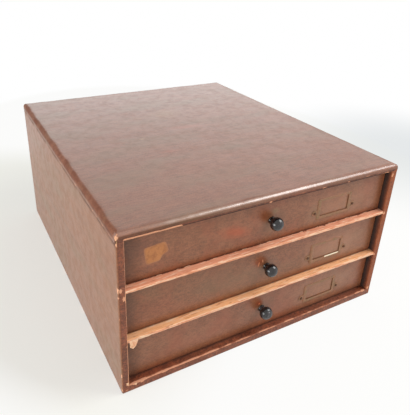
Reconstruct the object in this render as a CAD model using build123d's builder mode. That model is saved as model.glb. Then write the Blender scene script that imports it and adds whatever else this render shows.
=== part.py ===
from build123d import *

import os

# Sewing thread drawer cabinet: a wooden box covered with thin leathercloth, with three drawers
# across its full width, one above the other. Millimetres.
# Origin: the centre of the base, on the table. +Z is up and the drawers open towards -Y.

# Box, outside
case_width = 350.0
case_depth = 411.0
case_height = 191.0
top_edge_radius = 5.0
side_edge_radius = 1.5
base_edge_radius = 2.0

# Boards and dividers of the box
side_board = 7.0
top_board_height = 7.0
bottom_board_height = 9.0
back_board = 6.0
divider_height = 4.0
divider_groove = 2.0
divider_edge_radius = 0.6
upper_divider_lift = 1.0  # the upper divider sits a little above an even spacing

# Leathercloth
cloth = 0.5
top_lap = 9.5  # how far the cloth of the top reaches down the other faces
turn_in = 15.0  # how far the front binding turns into the bays

# Drawers
front_recess = 8.7  # drawer face behind the front of the box
front_board = 8.0
front_edge_radius = 1.0
rebate = 4.0  # depth of the rebate that takes a side wall's end
drawer_wall = 6.0
wall_drop = 4.0  # side and back walls below the top of the front
drawer_panel = 3.0
panel_rise = 4.0  # underside of the panel above the edge that the drawer slides on
panel_groove = 3.0

# Room to move
side_gap = 0.6
glide_gap = 0.3
top_gap = 0.7
back_gap = 0.3

# Knob, profile measured out from the drawer face
knob_foot_radius = 5.4
knob_foot_length = 1.8
knob_neck_radius = 3.8
knob_neck_at = 4.8
knob_head_radius = 7.5
knob_head_at = 10.4
knob_length = 16.2

# Knob screw, put in from inside the drawer
screw_radius = 1.6
screw_into_knob = 9.0
screw_head_radius = 3.6
screw_head_height = 2.2
screw_head_round = 1.2
screw_slot_width = 0.9
screw_slot_depth = 1.0

# Card holder, right of the middle of each drawer
card_centre_x = 89.0
window_width = 41.5
window_height = 18.5
window_above_floor = 14.4
card_side_bar = 4.5
card_bottom_bar = 4.5
card_top_bar = 3.0
card_sheet = 0.6
card_depth = 1.5
card_corner_radius = 1.6
card_bend_radius = 0.4
card_pin_spacing = 57.0
card_pin_drop = 4.6  # pins below the middle of the window
ear_height = 7.0

# Pins and nails
card_pin_radius = 0.6
card_pin_length = 6.0
card_pin_head_radius = 1.6
card_pin_head_height = 0.9
card_pin_head_round = 0.6
nail_radius = 0.7
nail_length = 22.0
nail_head_radius = 1.3
nail_head_height = 0.8
small_nail_length = 14.0
nail_set = 1.0  # nail heads are punched this far below the wood
fastener_fit = 0.05  # radial room round a fastener
nails_along_side = 5
nail_end_margin = 25.0
nail_edge_margin = 6.0
back_nails_up_side = 3
nails_up_corner = 3
nails_across_panel = 3

# Places that follow from the sizes above
half_width = case_width / 2
half_depth = case_depth / 2
inner_half_width = half_width - cloth - side_board
opening_half_width = inner_half_width - cloth
bottom_board_top = cloth + bottom_board_height
top_board_bottom = case_height - cloth - top_board_height
floor_z = bottom_board_top + cloth
ceiling_z = top_board_bottom - cloth
back_inner_y = half_depth - cloth - back_board
divider_front_y = -half_depth + cloth
face_y = -half_depth + front_recess

drawer_names = ("lower", "middle", "upper")
divider_count = len(drawer_names) - 1
bay_height = (ceiling_z - floor_z - divider_count * divider_height) / len(drawer_names)
lower_divider_z = floor_z + bay_height
upper_divider_z = lower_divider_z + divider_height + bay_height + upper_divider_lift
divider_heights = {"lower_divider": lower_divider_z, "upper_divider": upper_divider_z}
bay_floors = (floor_z, lower_divider_z + divider_height, upper_divider_z + divider_height)
bay_ceilings = (lower_divider_z, upper_divider_z, ceiling_z)

os.makedirs("parts", exist_ok=True)


def export_piece(piece, label):
    piece.part.label = label
    export_step(piece.part, f"parts/{label}.step")


# Cutting planes: TOP keeps what lies up, to the right or to the back of them
def level(z):
    return Plane.XY.offset(z)


def upright_across(y):
    return Plane(origin=(0, y, 0), x_dir=(1, 0, 0), z_dir=(0, 1, 0))


def upright_along(x):
    return Plane(origin=(x, 0, 0), x_dir=(0, 1, 0), z_dir=(1, 0, 0))


# The outside of the box, or the block that lies inset behind it all round
def rounded_block(inset):
    width = case_width - 2 * inset
    depth = case_depth - 2 * inset
    height = case_height - 2 * inset
    with BuildPart() as block:
        with BuildSketch(Plane.XZ) as front_view:
            with Locations((0, case_height / 2)):
                Rectangle(width, height)
            fillet(front_view.vertices().group_by(Axis.Y)[-1], top_edge_radius - inset)
            fillet(front_view.vertices().group_by(Axis.Y)[0], base_edge_radius - inset)
        extrude(amount=depth / 2, both=True)
        with BuildSketch(Plane.YZ) as side_view:
            with Locations((0, case_height / 2)):
                Rectangle(depth, height)
            fillet(side_view.vertices().group_by(Axis.Y)[-1], top_edge_radius - inset)
            fillet(side_view.vertices().group_by(Axis.Y)[0], base_edge_radius - inset)
        extrude(amount=width / 2, both=True, mode=Mode.INTERSECT)
        with BuildSketch(Plane.XY):
            RectangleRounded(width, depth, side_edge_radius - inset)
        extrude(amount=case_height, mode=Mode.INTERSECT)
    return block.part


# Places along one line, evenly spaced between two ends
def spaced(low, high, count):
    step = (high - low) / (count - 1)
    return [low + step * turn for turn in range(count)]


covered_block = rounded_block(0)
board_block = rounded_block(cloth)

# Nails of the box. Each place is a plane on a board's outer face that looks out of the board.
side_middle = inner_half_width + side_board / 2
nail_rows = spaced(-half_depth + nail_end_margin, back_inner_y - nail_end_margin, nails_along_side)
back_rows = spaced(
    bottom_board_top + nail_length + nail_edge_margin,
    top_board_bottom - nail_length - nail_edge_margin,
    back_nails_up_side,
)
top_nail_places = [
    Plane(origin=(side * side_middle, y, case_height - cloth)) for side in (-1, 1) for y in nail_rows
]
base_nail_places = [
    Plane(origin=(side * side_middle, y, cloth), z_dir=(0, 0, -1)) for side in (-1, 1) for y in nail_rows
]
back_nail_places = [
    Plane(origin=(side * side_middle, half_depth - cloth, z), z_dir=(0, 1, 0))
    for side in (-1, 1)
    for z in back_rows
]
case_nail_places = top_nail_places + base_nail_places + back_nail_places


def drill_nail_holes(places, length):
    with Locations(*[place.location for place in places]):
        CounterBoreHole(
            radius=nail_radius + fastener_fit,
            counter_bore_radius=nail_head_radius + fastener_fit,
            counter_bore_depth=nail_set + nail_head_height,
            depth=nail_set + length,
        )


def add_nails(places, length):
    with Locations(*[place.offset(-nail_set).location for place in places]):
        Cylinder(nail_radius, length, align=(Align.CENTER, Align.CENTER, Align.MAX))
        Cylinder(nail_head_radius, nail_head_height, align=(Align.CENTER, Align.CENTER, Align.MAX))


# Boards of the box
with BuildPart() as top_board:
    add(board_block)
    split(bisect_by=level(top_board_bottom), keep=Keep.TOP)
    drill_nail_holes(top_nail_places, nail_length)
export_piece(top_board, "top_board")

with BuildPart() as bottom_board:
    add(board_block)
    split(bisect_by=level(bottom_board_top), keep=Keep.BOTTOM)
    drill_nail_holes(base_nail_places, nail_length)
export_piece(bottom_board, "bottom_board")

with BuildPart() as back_panel:
    add(board_block)
    split(bisect_by=level(top_board_bottom), keep=Keep.BOTTOM)
    split(bisect_by=level(bottom_board_top), keep=Keep.TOP)
    split(bisect_by=upright_across(back_inner_y), keep=Keep.TOP)
    drill_nail_holes(back_nail_places, nail_length)
export_piece(back_panel, "back_panel")

with BuildPart() as left_side:
    add(board_block)
    split(bisect_by=level(top_board_bottom), keep=Keep.BOTTOM)
    split(bisect_by=level(bottom_board_top), keep=Keep.TOP)
    split(bisect_by=upright_across(back_inner_y), keep=Keep.BOTTOM)
    split(bisect_by=upright_along(-inner_half_width), keep=Keep.BOTTOM)
    with BuildSketch(Plane.YZ.offset(-inner_half_width)):
        for groove_z in divider_heights.values():
            with Locations(((divider_front_y + back_inner_y) / 2, groove_z + divider_height / 2)):
                Rectangle(back_inner_y - divider_front_y, divider_height)
    extrude(amount=-divider_groove, mode=Mode.SUBTRACT)
    drill_nail_holes(case_nail_places, nail_length)
export_piece(left_side, "left_side")

with BuildPart() as right_side:
    mirror(left_side.part, about=Plane.YZ)
export_piece(right_side, "right_side")

with BuildPart() as case_nails:
    add_nails(case_nail_places, nail_length)
export_piece(case_nails, "case_nails")

# Dividers, bare wood, held in the grooves of the sides
for divider_name, divider_z in divider_heights.items():
    with BuildPart() as divider:
        with BuildSketch(level(divider_z)):
            with Locations((0, (divider_front_y + back_inner_y) / 2)):
                Rectangle(2 * (inner_half_width + divider_groove), back_inner_y - divider_front_y)
        extrude(amount=divider_height)
        front_edges = divider.edges().filter_by(Axis.X).group_by(Axis.Y)[0]
        fillet(front_edges, divider_edge_radius)
    export_piece(divider, divider_name)

# Front binding: a flat rim on the board edges and a sleeve turned into the bays
rim_half_width = half_width - side_edge_radius
rim_bottom = base_edge_radius
rim_top = case_height - top_edge_radius
front_plane = Plane.XZ.offset(half_depth)

with BuildPart() as front_rim:
    with BuildSketch(front_plane):
        with Locations((0, (rim_bottom + rim_top) / 2)):
            Rectangle(2 * rim_half_width, rim_top - rim_bottom)
        with Locations((0, (floor_z + ceiling_z) / 2)):
            Rectangle(2 * opening_half_width, ceiling_z - floor_z, mode=Mode.SUBTRACT)
    extrude(amount=-cloth)
    with BuildSketch(front_plane):
        with Locations((0, (floor_z + ceiling_z) / 2)):
            Rectangle(2 * inner_half_width, top_board_bottom - bottom_board_top)
            Rectangle(2 * opening_half_width, ceiling_z - floor_z, mode=Mode.SUBTRACT)
    extrude(amount=-turn_in)
    with BuildSketch(Plane.XZ.offset(-divider_front_y)):
        for slot_z in divider_heights.values():
            with Locations((0, slot_z + divider_height / 2)):
                Rectangle(2 * inner_half_width, divider_height)
    extrude(amount=-turn_in, mode=Mode.SUBTRACT)

with BuildPart() as left_binding:
    add(front_rim.part)
    split(bisect_by=upright_along(-opening_half_width), keep=Keep.BOTTOM)
export_piece(left_binding, "left_binding")

with BuildPart() as right_binding:
    add(front_rim.part)
    split(bisect_by=upright_along(opening_half_width), keep=Keep.TOP)
export_piece(right_binding, "right_binding")

with BuildPart() as rim_middle:
    add(front_rim.part)
    split(bisect_by=upright_along(-opening_half_width), keep=Keep.TOP)
    split(bisect_by=upright_along(opening_half_width), keep=Keep.BOTTOM)

with BuildPart() as top_binding:
    add(rim_middle.part)
    split(bisect_by=level(case_height / 2), keep=Keep.TOP)
export_piece(top_binding, "top_binding")

with BuildPart() as bottom_binding:
    add(rim_middle.part)
    split(bisect_by=level(case_height / 2), keep=Keep.BOTTOM)
export_piece(bottom_binding, "bottom_binding")

# Leathercloth round the other faces, open where the rim lies
with BuildPart() as skin:
    add(covered_block)
    add(board_block, mode=Mode.SUBTRACT)
    with BuildSketch(front_plane):
        with Locations((0, (rim_bottom + rim_top) / 2)):
            Rectangle(2 * rim_half_width, rim_top - rim_bottom)
    extrude(amount=-cloth, mode=Mode.SUBTRACT)

with BuildPart() as top_covering:
    add(skin.part)
    split(bisect_by=level(case_height - top_lap), keep=Keep.TOP)
export_piece(top_covering, "top_covering")

with BuildPart() as base_covering:
    add(skin.part)
    split(bisect_by=level(base_edge_radius), keep=Keep.BOTTOM)
export_piece(base_covering, "base_covering")

with BuildPart() as skin_belt:
    add(skin.part)
    split(bisect_by=level(case_height - top_lap), keep=Keep.BOTTOM)
    split(bisect_by=level(base_edge_radius), keep=Keep.TOP)

with BuildPart() as back_covering:
    add(skin_belt.part)
    split(bisect_by=upright_across(half_depth - cloth), keep=Keep.TOP)
export_piece(back_covering, "back_covering")

with BuildPart() as left_covering:
    add(skin_belt.part)
    split(bisect_by=upright_across(half_depth - cloth), keep=Keep.BOTTOM)
    split(bisect_by=upright_along(0), keep=Keep.BOTTOM)
export_piece(left_covering, "left_covering")

with BuildPart() as right_covering:
    mirror(left_covering.part, about=Plane.YZ)
export_piece(right_covering, "right_covering")

# Sizes that the three drawers share
drawer_half_width = opening_half_width - side_gap
board_half_width = drawer_half_width - cloth
box_half_width = board_half_width - drawer_wall
front_outer_y = face_y + cloth
front_inner_y = front_outer_y + front_board
shoulder_y = front_inner_y - rebate
drawer_end_y = back_inner_y - back_gap
back_wall_y = drawer_end_y - drawer_wall
card_width = window_width + 2 * card_side_bar
card_height = window_height + card_top_bar + card_bottom_bar
pin_hole_radius = card_pin_radius + fastener_fit
screw_hole_radius = screw_radius + fastener_fit


def make_drawer(name, floor, ceiling):
    low = floor + glide_gap
    high = ceiling - top_gap
    middle = (low + high) / 2
    wall_top = high - wall_drop
    panel_low = low + panel_rise
    panel_top = panel_low + drawer_panel
    window_middle = floor + window_above_floor + window_height / 2

    # The face of the drawer, looking out: its X is the cabinet's X and its Y is up
    face = Plane(origin=(0, face_y, 0), x_dir=(1, 0, 0), z_dir=(0, -1, 0))
    pin_height = window_middle - card_pin_drop
    pin_places = [
        Plane(origin=(card_centre_x + side * card_pin_spacing / 2, face_y, pin_height), z_dir=(0, -1, 0))
        for side in (-1, 1)
    ]
    corner_nail_places = [
        Plane(origin=(side * board_half_width, y, z), z_dir=(side, 0, 0))
        for side in (-1, 1)
        for y in (front_inner_y - rebate / 2, drawer_end_y - drawer_wall / 2)
        for z in spaced(panel_top + nail_edge_margin, wall_top - nail_edge_margin, nails_up_corner)
    ]
    panel_nail_reach = box_half_width - nail_end_margin
    panel_nail_places = [
        Plane(origin=(x, drawer_end_y - drawer_wall / 2, panel_low), z_dir=(0, 0, -1))
        for x in spaced(-panel_nail_reach, panel_nail_reach, nails_across_panel)
    ]
    nail_places = corner_nail_places + panel_nail_places
    screw_place = Plane(origin=(0, front_inner_y, middle), x_dir=(1, 0, 0), z_dir=(0, 1, 0))

    # Front board: rebated at both ends for the side walls, grooved for the panel
    with BuildPart() as front_blank:
        with BuildSketch(face.offset(-cloth)):
            with Locations((0, middle)):
                Rectangle(2 * board_half_width, high - low - 2 * cloth)
        extrude(amount=-front_board)
        fillet(front_blank.faces().sort_by(Axis.Y)[0].edges(), front_edge_radius - cloth)

    with BuildPart() as front:
        add(front_blank.part)
        with BuildSketch(level(low)):
            with Locations(
                (-board_half_width + drawer_wall / 2, front_inner_y - rebate / 2),
                (board_half_width - drawer_wall / 2, front_inner_y - rebate / 2),
            ):
                Rectangle(drawer_wall, rebate)
        extrude(amount=high - low, mode=Mode.SUBTRACT)
        with BuildSketch(level(panel_low)):
            with Locations((0, front_inner_y - panel_groove / 2)):
                Rectangle(2 * (box_half_width + panel_groove), panel_groove)
        extrude(amount=drawer_panel, mode=Mode.SUBTRACT)
        with Locations(screw_place.location):
            Hole(screw_hole_radius, depth=front_board)
        with Locations(*[place.location for place in pin_places]):
            Hole(pin_hole_radius, depth=card_pin_length)
        drill_nail_holes(corner_nail_places, small_nail_length)
    export_piece(front, f"{name}_front")

    # Leathercloth on the face, turned over the edges of the board as far as the rebates
    with BuildPart() as covering:
        with BuildSketch(face):
            with Locations((0, middle)):
                Rectangle(2 * drawer_half_width, high - low)
        extrude(amount=-(shoulder_y - face_y))
        fillet(covering.faces().sort_by(Axis.Y)[0].edges(), front_edge_radius)
        add(front_blank.part, mode=Mode.SUBTRACT)
        with Locations(screw_place.location):
            Hole(screw_hole_radius, depth=front_board + cloth)
        with Locations(*[place.location for place in pin_places]):
            Hole(pin_hole_radius, depth=card_pin_length)
    export_piece(covering, f"{name}_front_covering")

    # Side walls, panel and back wall
    with BuildPart() as left_wall:
        with BuildSketch(level(low)):
            with Locations((-board_half_width + drawer_wall / 2, (shoulder_y + drawer_end_y) / 2)):
                Rectangle(drawer_wall, drawer_end_y - shoulder_y)
        extrude(amount=wall_top - low)
        with BuildSketch(level(panel_low)):
            with Locations((-box_half_width - panel_groove / 2, (shoulder_y + drawer_end_y) / 2)):
                Rectangle(panel_groove, drawer_end_y - shoulder_y)
        extrude(amount=drawer_panel, mode=Mode.SUBTRACT)
        drill_nail_holes(corner_nail_places, small_nail_length)
    export_piece(left_wall, f"{name}_left_wall")

    with BuildPart() as right_wall:
        mirror(left_wall.part, about=Plane.YZ)
    export_piece(right_wall, f"{name}_right_wall")

    with BuildPart() as panel:
        with BuildSketch(level(panel_low)):
            with Locations((0, (front_inner_y - panel_groove + drawer_end_y) / 2)):
                Rectangle(2 * (box_half_width + panel_groove), drawer_end_y - front_inner_y + panel_groove)
        extrude(amount=drawer_panel)
        drill_nail_holes(panel_nail_places, small_nail_length)
    export_piece(panel, f"{name}_panel")

    with BuildPart() as back_wall:
        with BuildSketch(level(panel_top)):
            with Locations((0, drawer_end_y - drawer_wall / 2)):
                Rectangle(2 * box_half_width, drawer_wall)
        extrude(amount=wall_top - panel_top)
        drill_nail_holes(nail_places, small_nail_length)
    export_piece(back_wall, f"{name}_back_wall")

    with BuildPart() as nails:
        add_nails(nail_places, small_nail_length)
    export_piece(nails, f"{name}_nails")

    # Turned knob: foot, waisted neck and domed head, bored for its screw
    knob_view = Plane(origin=(0, face_y, middle), x_dir=(0, -1, 0), z_dir=(-1, 0, 0))
    with BuildPart() as knob:
        with BuildSketch(knob_view):
            with BuildLine():
                Polyline((0, 0), (0, knob_foot_radius), (knob_foot_length, knob_foot_radius))
                Spline(
                    (knob_foot_length, knob_foot_radius),
                    (knob_neck_at, knob_neck_radius),
                    (knob_head_at, knob_head_radius),
                    tangents=[(1, -1), (1, 0)],
                )
                EllipticalCenterArc(
                    center=(knob_head_at, 0),
                    x_radius=knob_length - knob_head_at,
                    y_radius=knob_head_radius,
                    start_angle=0,
                    arc_size=90,
                )
                Line((knob_length, 0), (0, 0))
            make_face()
        revolve(axis=Axis((0, face_y, middle), (0, -1, 0)))
        with Locations(Plane(origin=(0, face_y, middle), z_dir=(0, 1, 0)).location):
            Hole(screw_hole_radius, depth=screw_into_knob)
    export_piece(knob, f"{name}_knob")

    with BuildPart() as knob_screw:
        with Locations(screw_place.location):
            Cylinder(screw_head_radius, screw_head_height, align=(Align.CENTER, Align.CENTER, Align.MIN))
        head_rim = knob_screw.faces().sort_by(Axis.Y)[-1].edges()
        fillet(head_rim, screw_head_round)
        with BuildSketch(screw_place.offset(screw_head_height)):
            Rectangle(2 * screw_head_radius, screw_slot_width)
        extrude(amount=-screw_slot_depth, mode=Mode.SUBTRACT)
        with Locations(screw_place.location):
            Cylinder(
                screw_radius,
                front_board + cloth + screw_into_knob,
                align=(Align.CENTER, Align.CENTER, Align.MAX),
            )
    export_piece(knob_screw, f"{name}_knob_screw")

    # Card holder: a raised frame, open at the top for the card, with an ear at each side
    frame_middle = window_middle + (card_top_bar - card_bottom_bar) / 2
    with BuildPart() as card_holder:
        with BuildSketch(face):
            with Locations((card_centre_x, frame_middle)):
                RectangleRounded(card_width, card_height, card_corner_radius)
        extrude(amount=card_depth)
        fillet(card_holder.faces().sort_by(Axis.Y)[0].edges(), card_bend_radius)
        with BuildSketch(face):
            with Locations((card_centre_x, pin_height)):
                SlotCenterToCenter(card_pin_spacing, ear_height)
        extrude(amount=card_sheet)
        with BuildSketch(face):
            with Locations((card_centre_x, frame_middle + card_sheet)):
                Rectangle(card_width - 2 * card_sheet, card_height)
        extrude(amount=card_depth - card_sheet, mode=Mode.SUBTRACT)
        with BuildSketch(face):
            with Locations((card_centre_x, window_middle)):
                Rectangle(window_width, window_height)
        extrude(amount=card_depth, mode=Mode.SUBTRACT)
        with Locations(*[place.offset(card_sheet).location for place in pin_places]):
            Hole(pin_hole_radius, depth=card_sheet)
    export_piece(card_holder, f"{name}_card_holder")

    with BuildPart() as card_pins:
        with Locations(*[place.offset(card_sheet).location for place in pin_places]):
            Cylinder(
                card_pin_head_radius,
                card_pin_head_height,
                align=(Align.CENTER, Align.CENTER, Align.MIN),
            )
        fillet(card_pins.edges().filter_by(GeomType.CIRCLE).group_by(Axis.Y)[0], card_pin_head_round)
        with Locations(*[place.offset(card_sheet).location for place in pin_places]):
            Cylinder(card_pin_radius, card_pin_length, align=(Align.CENTER, Align.CENTER, Align.MAX))
    export_piece(card_pins, f"{name}_card_pins")


for drawer_name, bay_floor, bay_ceiling in zip(drawer_names, bay_floors, bay_ceilings):
    make_drawer(drawer_name, bay_floor, bay_ceiling)
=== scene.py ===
from math import cos, pi, radians, sin

import bmesh
import bpy
import numpy as np
from mathutils import Matrix, Vector


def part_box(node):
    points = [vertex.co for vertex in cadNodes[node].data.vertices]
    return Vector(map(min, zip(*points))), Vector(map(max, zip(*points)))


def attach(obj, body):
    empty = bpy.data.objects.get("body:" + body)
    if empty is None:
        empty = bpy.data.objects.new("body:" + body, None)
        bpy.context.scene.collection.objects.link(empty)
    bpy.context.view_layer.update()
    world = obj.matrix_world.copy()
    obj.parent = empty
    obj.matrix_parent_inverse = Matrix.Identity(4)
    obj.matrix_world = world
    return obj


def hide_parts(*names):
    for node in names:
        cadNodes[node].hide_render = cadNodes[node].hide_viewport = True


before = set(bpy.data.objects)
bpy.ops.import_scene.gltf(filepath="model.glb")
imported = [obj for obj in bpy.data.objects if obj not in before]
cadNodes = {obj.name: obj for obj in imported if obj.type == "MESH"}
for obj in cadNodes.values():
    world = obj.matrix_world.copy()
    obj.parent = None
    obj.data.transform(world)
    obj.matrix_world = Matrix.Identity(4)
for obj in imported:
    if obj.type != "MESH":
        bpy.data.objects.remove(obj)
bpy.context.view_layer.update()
mm = 0.001
print("frame loaded,", len(cadNodes), "nodes")

# places on the box, read from the frame
halfWidth, halfDepth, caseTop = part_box("top_covering")[1]
openHalf = -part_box("left_binding")[1].x
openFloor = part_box("bottom_binding")[1].z
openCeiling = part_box("top_binding")[0].z
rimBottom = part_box("left_binding")[0].z
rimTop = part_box("left_binding")[1].z
rimHalf = -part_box("left_binding")[0].x
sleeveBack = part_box("left_binding")[1].y
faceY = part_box("upper_front_covering")[0].y
levels = ("lower", "middle", "upper")


def ripple(along, seed, wavelength, waves=6):
    # sum of sine waves with lengths scattered round one wavelength, about -1 to 1
    pick = np.random.default_rng(seed)
    lengths = wavelength * pick.uniform(0.6, 1.7, waves)
    starts = pick.uniform(0, 2 * pi, waves)
    total = sum(np.sin(2 * pi * along / length + start) for length, start in zip(lengths, starts))
    return total / waves**0.5


def ragged(along, seed, wavelength, octaves=4):
    # ripples, each half as long and about half as strong as the one before: a torn edge
    return sum(ripple(along, seed + k, wavelength / 2**k) * 0.6**k for k in range(octaves))


def swell(x, y, seed, wavelength, waves=9):
    # plane waves in scattered directions, about -1 to 1
    pick = np.random.default_rng(seed)
    turns = pick.uniform(0, pi, waves)
    total = 0
    for k, turn in enumerate(turns):
        total = total + ripple(x * cos(turn) + y * sin(turn), seed + 31 * k, wavelength, 2)
    return total / waves**0.5


def smoothStep(value, low, high):
    t = np.clip((value - low) / (high - low), 0, 1)
    return t * t * (3 - 2 * t)


def between(value, low, high):
    # 0 at the low limit and 1 at the high one, both in mm
    return smoothStep(value, low * mm, high * mm)


def gridFaces(rows, columns, start=0, wrap=False, caps=False):
    # quads between neighbouring rows and columns; wrap joins the last column to the first
    r = np.arange(rows - 1)[:, None]
    c = np.arange(columns if wrap else columns - 1)[None, :]
    following = (c + 1) % columns
    corners = (r * columns + c, r * columns + following, (r + 1) * columns + following, (r + 1) * columns + c)
    faces = (start + np.stack(np.broadcast_arrays(*corners), -1).reshape(-1, 4)).tolist()
    if caps:
        faces.append((start + np.arange(columns))[::-1].tolist())
        faces.append((start + (rows - 1) * columns + np.arange(columns)).tolist())
    return faces


def readPoints(mesh):
    points = np.zeros(len(mesh.vertices) * 3, np.float32)
    mesh.vertices.foreach_get("co", points)
    return points.reshape(-1, 3)


def makePiece(name, grids, material, body, replaced=(), thickness=0.0, attributes=None,
              wrap=False, caps=False, shiftAlong=None, lookFrom=None, sharpAngle=40):
    # joins the grids into one mesh, merges their shared points, turns the faces outwards and rides on a body
    points = np.concatenate([np.asarray(g, float).reshape(-1, 3) for g in grids])
    faces, start = [], 0
    for g in grids:
        faces += gridFaces(g.shape[0], g.shape[1], start, wrap, caps)
        start += g.shape[0] * g.shape[1]
    mesh = bpy.data.meshes.new(name)
    mesh.from_pydata(points.tolist(), [], faces)
    work = bmesh.new()
    work.from_mesh(mesh)
    bmesh.ops.remove_doubles(work, verts=work.verts, dist=0.004 * mm)
    bmesh.ops.dissolve_degenerate(work, edges=work.edges, dist=0.002 * mm)
    bmesh.ops.recalc_face_normals(work, faces=work.faces)
    eye = Vector(lookFrom) if lookFrom else None
    if eye and sum((eye - f.calc_center_median()).dot(f.normal) * f.calc_area() for f in work.faces) < 0:
        bmesh.ops.reverse_faces(work, faces=work.faces)
    for edge in work.edges:
        edge.smooth = not edge.is_boundary
    work.to_mesh(mesh)
    work.free()
    if shiftAlong:
        placed = readPoints(mesh)
        normals = np.zeros(placed.size, np.float32)
        mesh.vertex_normals.foreach_get("vector", normals)
        placed = placed + normals.reshape(-1, 3) * shiftAlong(placed)[:, None]
        mesh.vertices.foreach_set("co", placed.astype(np.float32).ravel())
    for label, rule in (attributes or {}).items():
        values = np.asarray(rule(readPoints(mesh)), np.float32)
        mesh.attributes.new(label, "FLOAT", "POINT").data.foreach_set("value", values)
    mesh.polygons.foreach_set("use_smooth", np.ones(len(mesh.polygons), bool))
    mesh.set_sharp_from_angle(angle=radians(sharpAngle))
    mesh.update()
    mesh.materials.append(material)
    piece = bpy.data.objects.new(name, mesh)
    bpy.context.scene.collection.objects.link(piece)
    if thickness:
        wall = piece.modifiers.new("clothThickness", "SOLIDIFY")
        wall.thickness = thickness
        wall.offset = -1
    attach(piece, body)
    if replaced:
        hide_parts(*replaced)
    return piece


def wornPlaces(points, places):
    # each place is (x, y, z), its reach along x, y and z in mm, and its strength: full at its middle and
    # nothing at its rim, which waves in and out
    worn = np.zeros(len(points))
    for number, (middle, reach, strength) in enumerate(places):
        local = (points - np.array(middle) * mm) / (np.array(reach) * mm)
        wave = 0.16 * np.sin(7 * local[:, 0] + number) * np.cos(5 * local[:, 2] + 3 * number)
        away = np.linalg.norm(local, axis=1) + wave
        worn = np.maximum(worn, strength * (1 - smoothStep(away, 0.3, 1.0)))
    return worn


def tone(red, green, blue):
    # a colour as seen on screen, 0 to 255, as the linear colour that shaders take
    shares = [c / 255 for c in (red, green, blue)]
    return tuple(((s + 0.055) / 1.055) ** 2.4 if s > 0.04 else s / 12.92 for s in shares) + (1,)


def addNode(tree, kind, inputs=None, **settings):
    # an input that is a socket is linked, and anything else is set on the node itself
    node = tree.nodes.new("ShaderNode" + kind)
    row, column = divmod(len(tree.nodes) - 1, 9)
    node.location = (220 * column, -260 * row)
    for key, value in settings.items():
        setattr(node, key, value)
    for key, value in (inputs or {}).items():
        if isinstance(value, bpy.types.NodeSocket):
            tree.links.new(value, node.inputs[key])
        else:
            node.inputs[key].default_value = value
    return node


def calc(tree, operation, first, second=0.5, clamped=False):
    return addNode(tree, "Math", {0: first, 1: second}, operation=operation, use_clamp=clamped).outputs[0]


def times(tree, value, share, clamped=False):
    return calc(tree, "MULTIPLY", value, share, clamped)


def plus(tree, base, value, share):
    # the base with a share of the value on top
    return calc(tree, "ADD", base, times(tree, value, share))


def fade(tree, value, low, high, lowTo=0.0, highTo=1.0):
    # smooth change from lowTo to highTo while value goes from low to high
    limits = {"Value": value, "From Min": low, "From Max": high, "To Min": lowTo, "To Max": highTo}
    return addNode(tree, "MapRange", limits, interpolation_type="SMOOTHSTEP").outputs[0]


def blendColour(tree, share, under, over):
    return addNode(tree, "Mix", {0: share, 6: under, 7: over}, data_type="RGBA").outputs[2]


def tint(tree, colour, mask, shade, share=1.0):
    # lays a share of the shade over the colour where the mask is
    return blendColour(tree, times(tree, mask, share) if share != 1 else mask, colour, tone(*shade))


def noise(tree, vector, scale, detail=2.0, **more):
    values = {"Vector": vector, "Scale": scale, "Detail": detail} | more
    return addNode(tree, "TexNoise", values).outputs["Fac"]


def mapped(tree, vector, shift=(0, 0, 0), turn=(0, 0, 0), scale=(1, 1, 1), **settings):
    # turn in degrees
    turn = tuple(radians(v) for v in turn)
    values = {"Vector": vector, "Location": shift, "Rotation": turn, "Scale": scale}
    return addNode(tree, "Mapping", values, **settings).outputs[0]


def awayFrom(tree, vector, at, reach):
    # distance from a place: 1 on the rim of the ellipse that reach gives
    local = mapped(tree, vector, at, scale=reach, vector_type="TEXTURE")
    return addNode(tree, "VectorMath", {0: local}, operation="LENGTH").outputs["Value"]


def painted(tree, label):
    # a value that makePiece wrote on the piece
    return addNode(tree, "Attribute", attribute_name=label).outputs["Fac"]


def newGroup(name, inputs, outputs):
    # inputs: each one's usual value, and None for a vector
    group = bpy.data.node_groups.new(name, "ShaderNodeTree")
    for label, value in inputs.items():
        kind = "NodeSocketVector" if value is None else "NodeSocketFloat"
        socket = group.interface.new_socket(label, in_out="INPUT", socket_type=kind)
        if value is not None:
            socket.default_value = value
    for label in outputs:
        group.interface.new_socket(label, in_out="OUTPUT", socket_type="NodeSocketFloat")
    return group, group.nodes.new("NodeGroupInput").outputs, group.nodes.new("NodeGroupOutput").inputs


def sendOut(group, result, values):
    for label, value in values.items():
        group.links.new(value, result[label])
    return group


def useGroup(tree, group, inputs):
    return addNode(tree, "Group", inputs, node_tree=group).outputs


def newMaterial(name, roughness=0.5, **shaderValues):
    material = bpy.data.materials.new(name)
    material.use_nodes = True
    tree = material.node_tree
    shader = tree.nodes["Principled BSDF"]
    for key, value in ({"Roughness": roughness} | shaderValues).items():
        shader.inputs[key].default_value = value
    place = addNode(tree, "TexCoord").outputs["Object"]
    return material, tree, shader, place


def wireUp(tree, shader, colour, roughness, height, strength, distance):
    tree.links.new(colour, shader.inputs["Base Color"])
    if roughness is not None:
        tree.links.new(roughness, shader.inputs["Roughness"])
    bump = addNode(tree, "Bump", {"Strength": strength, "Distance": distance, "Height": height})
    tree.links.new(bump.outputs["Normal"], shader.inputs["Normal"])


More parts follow.
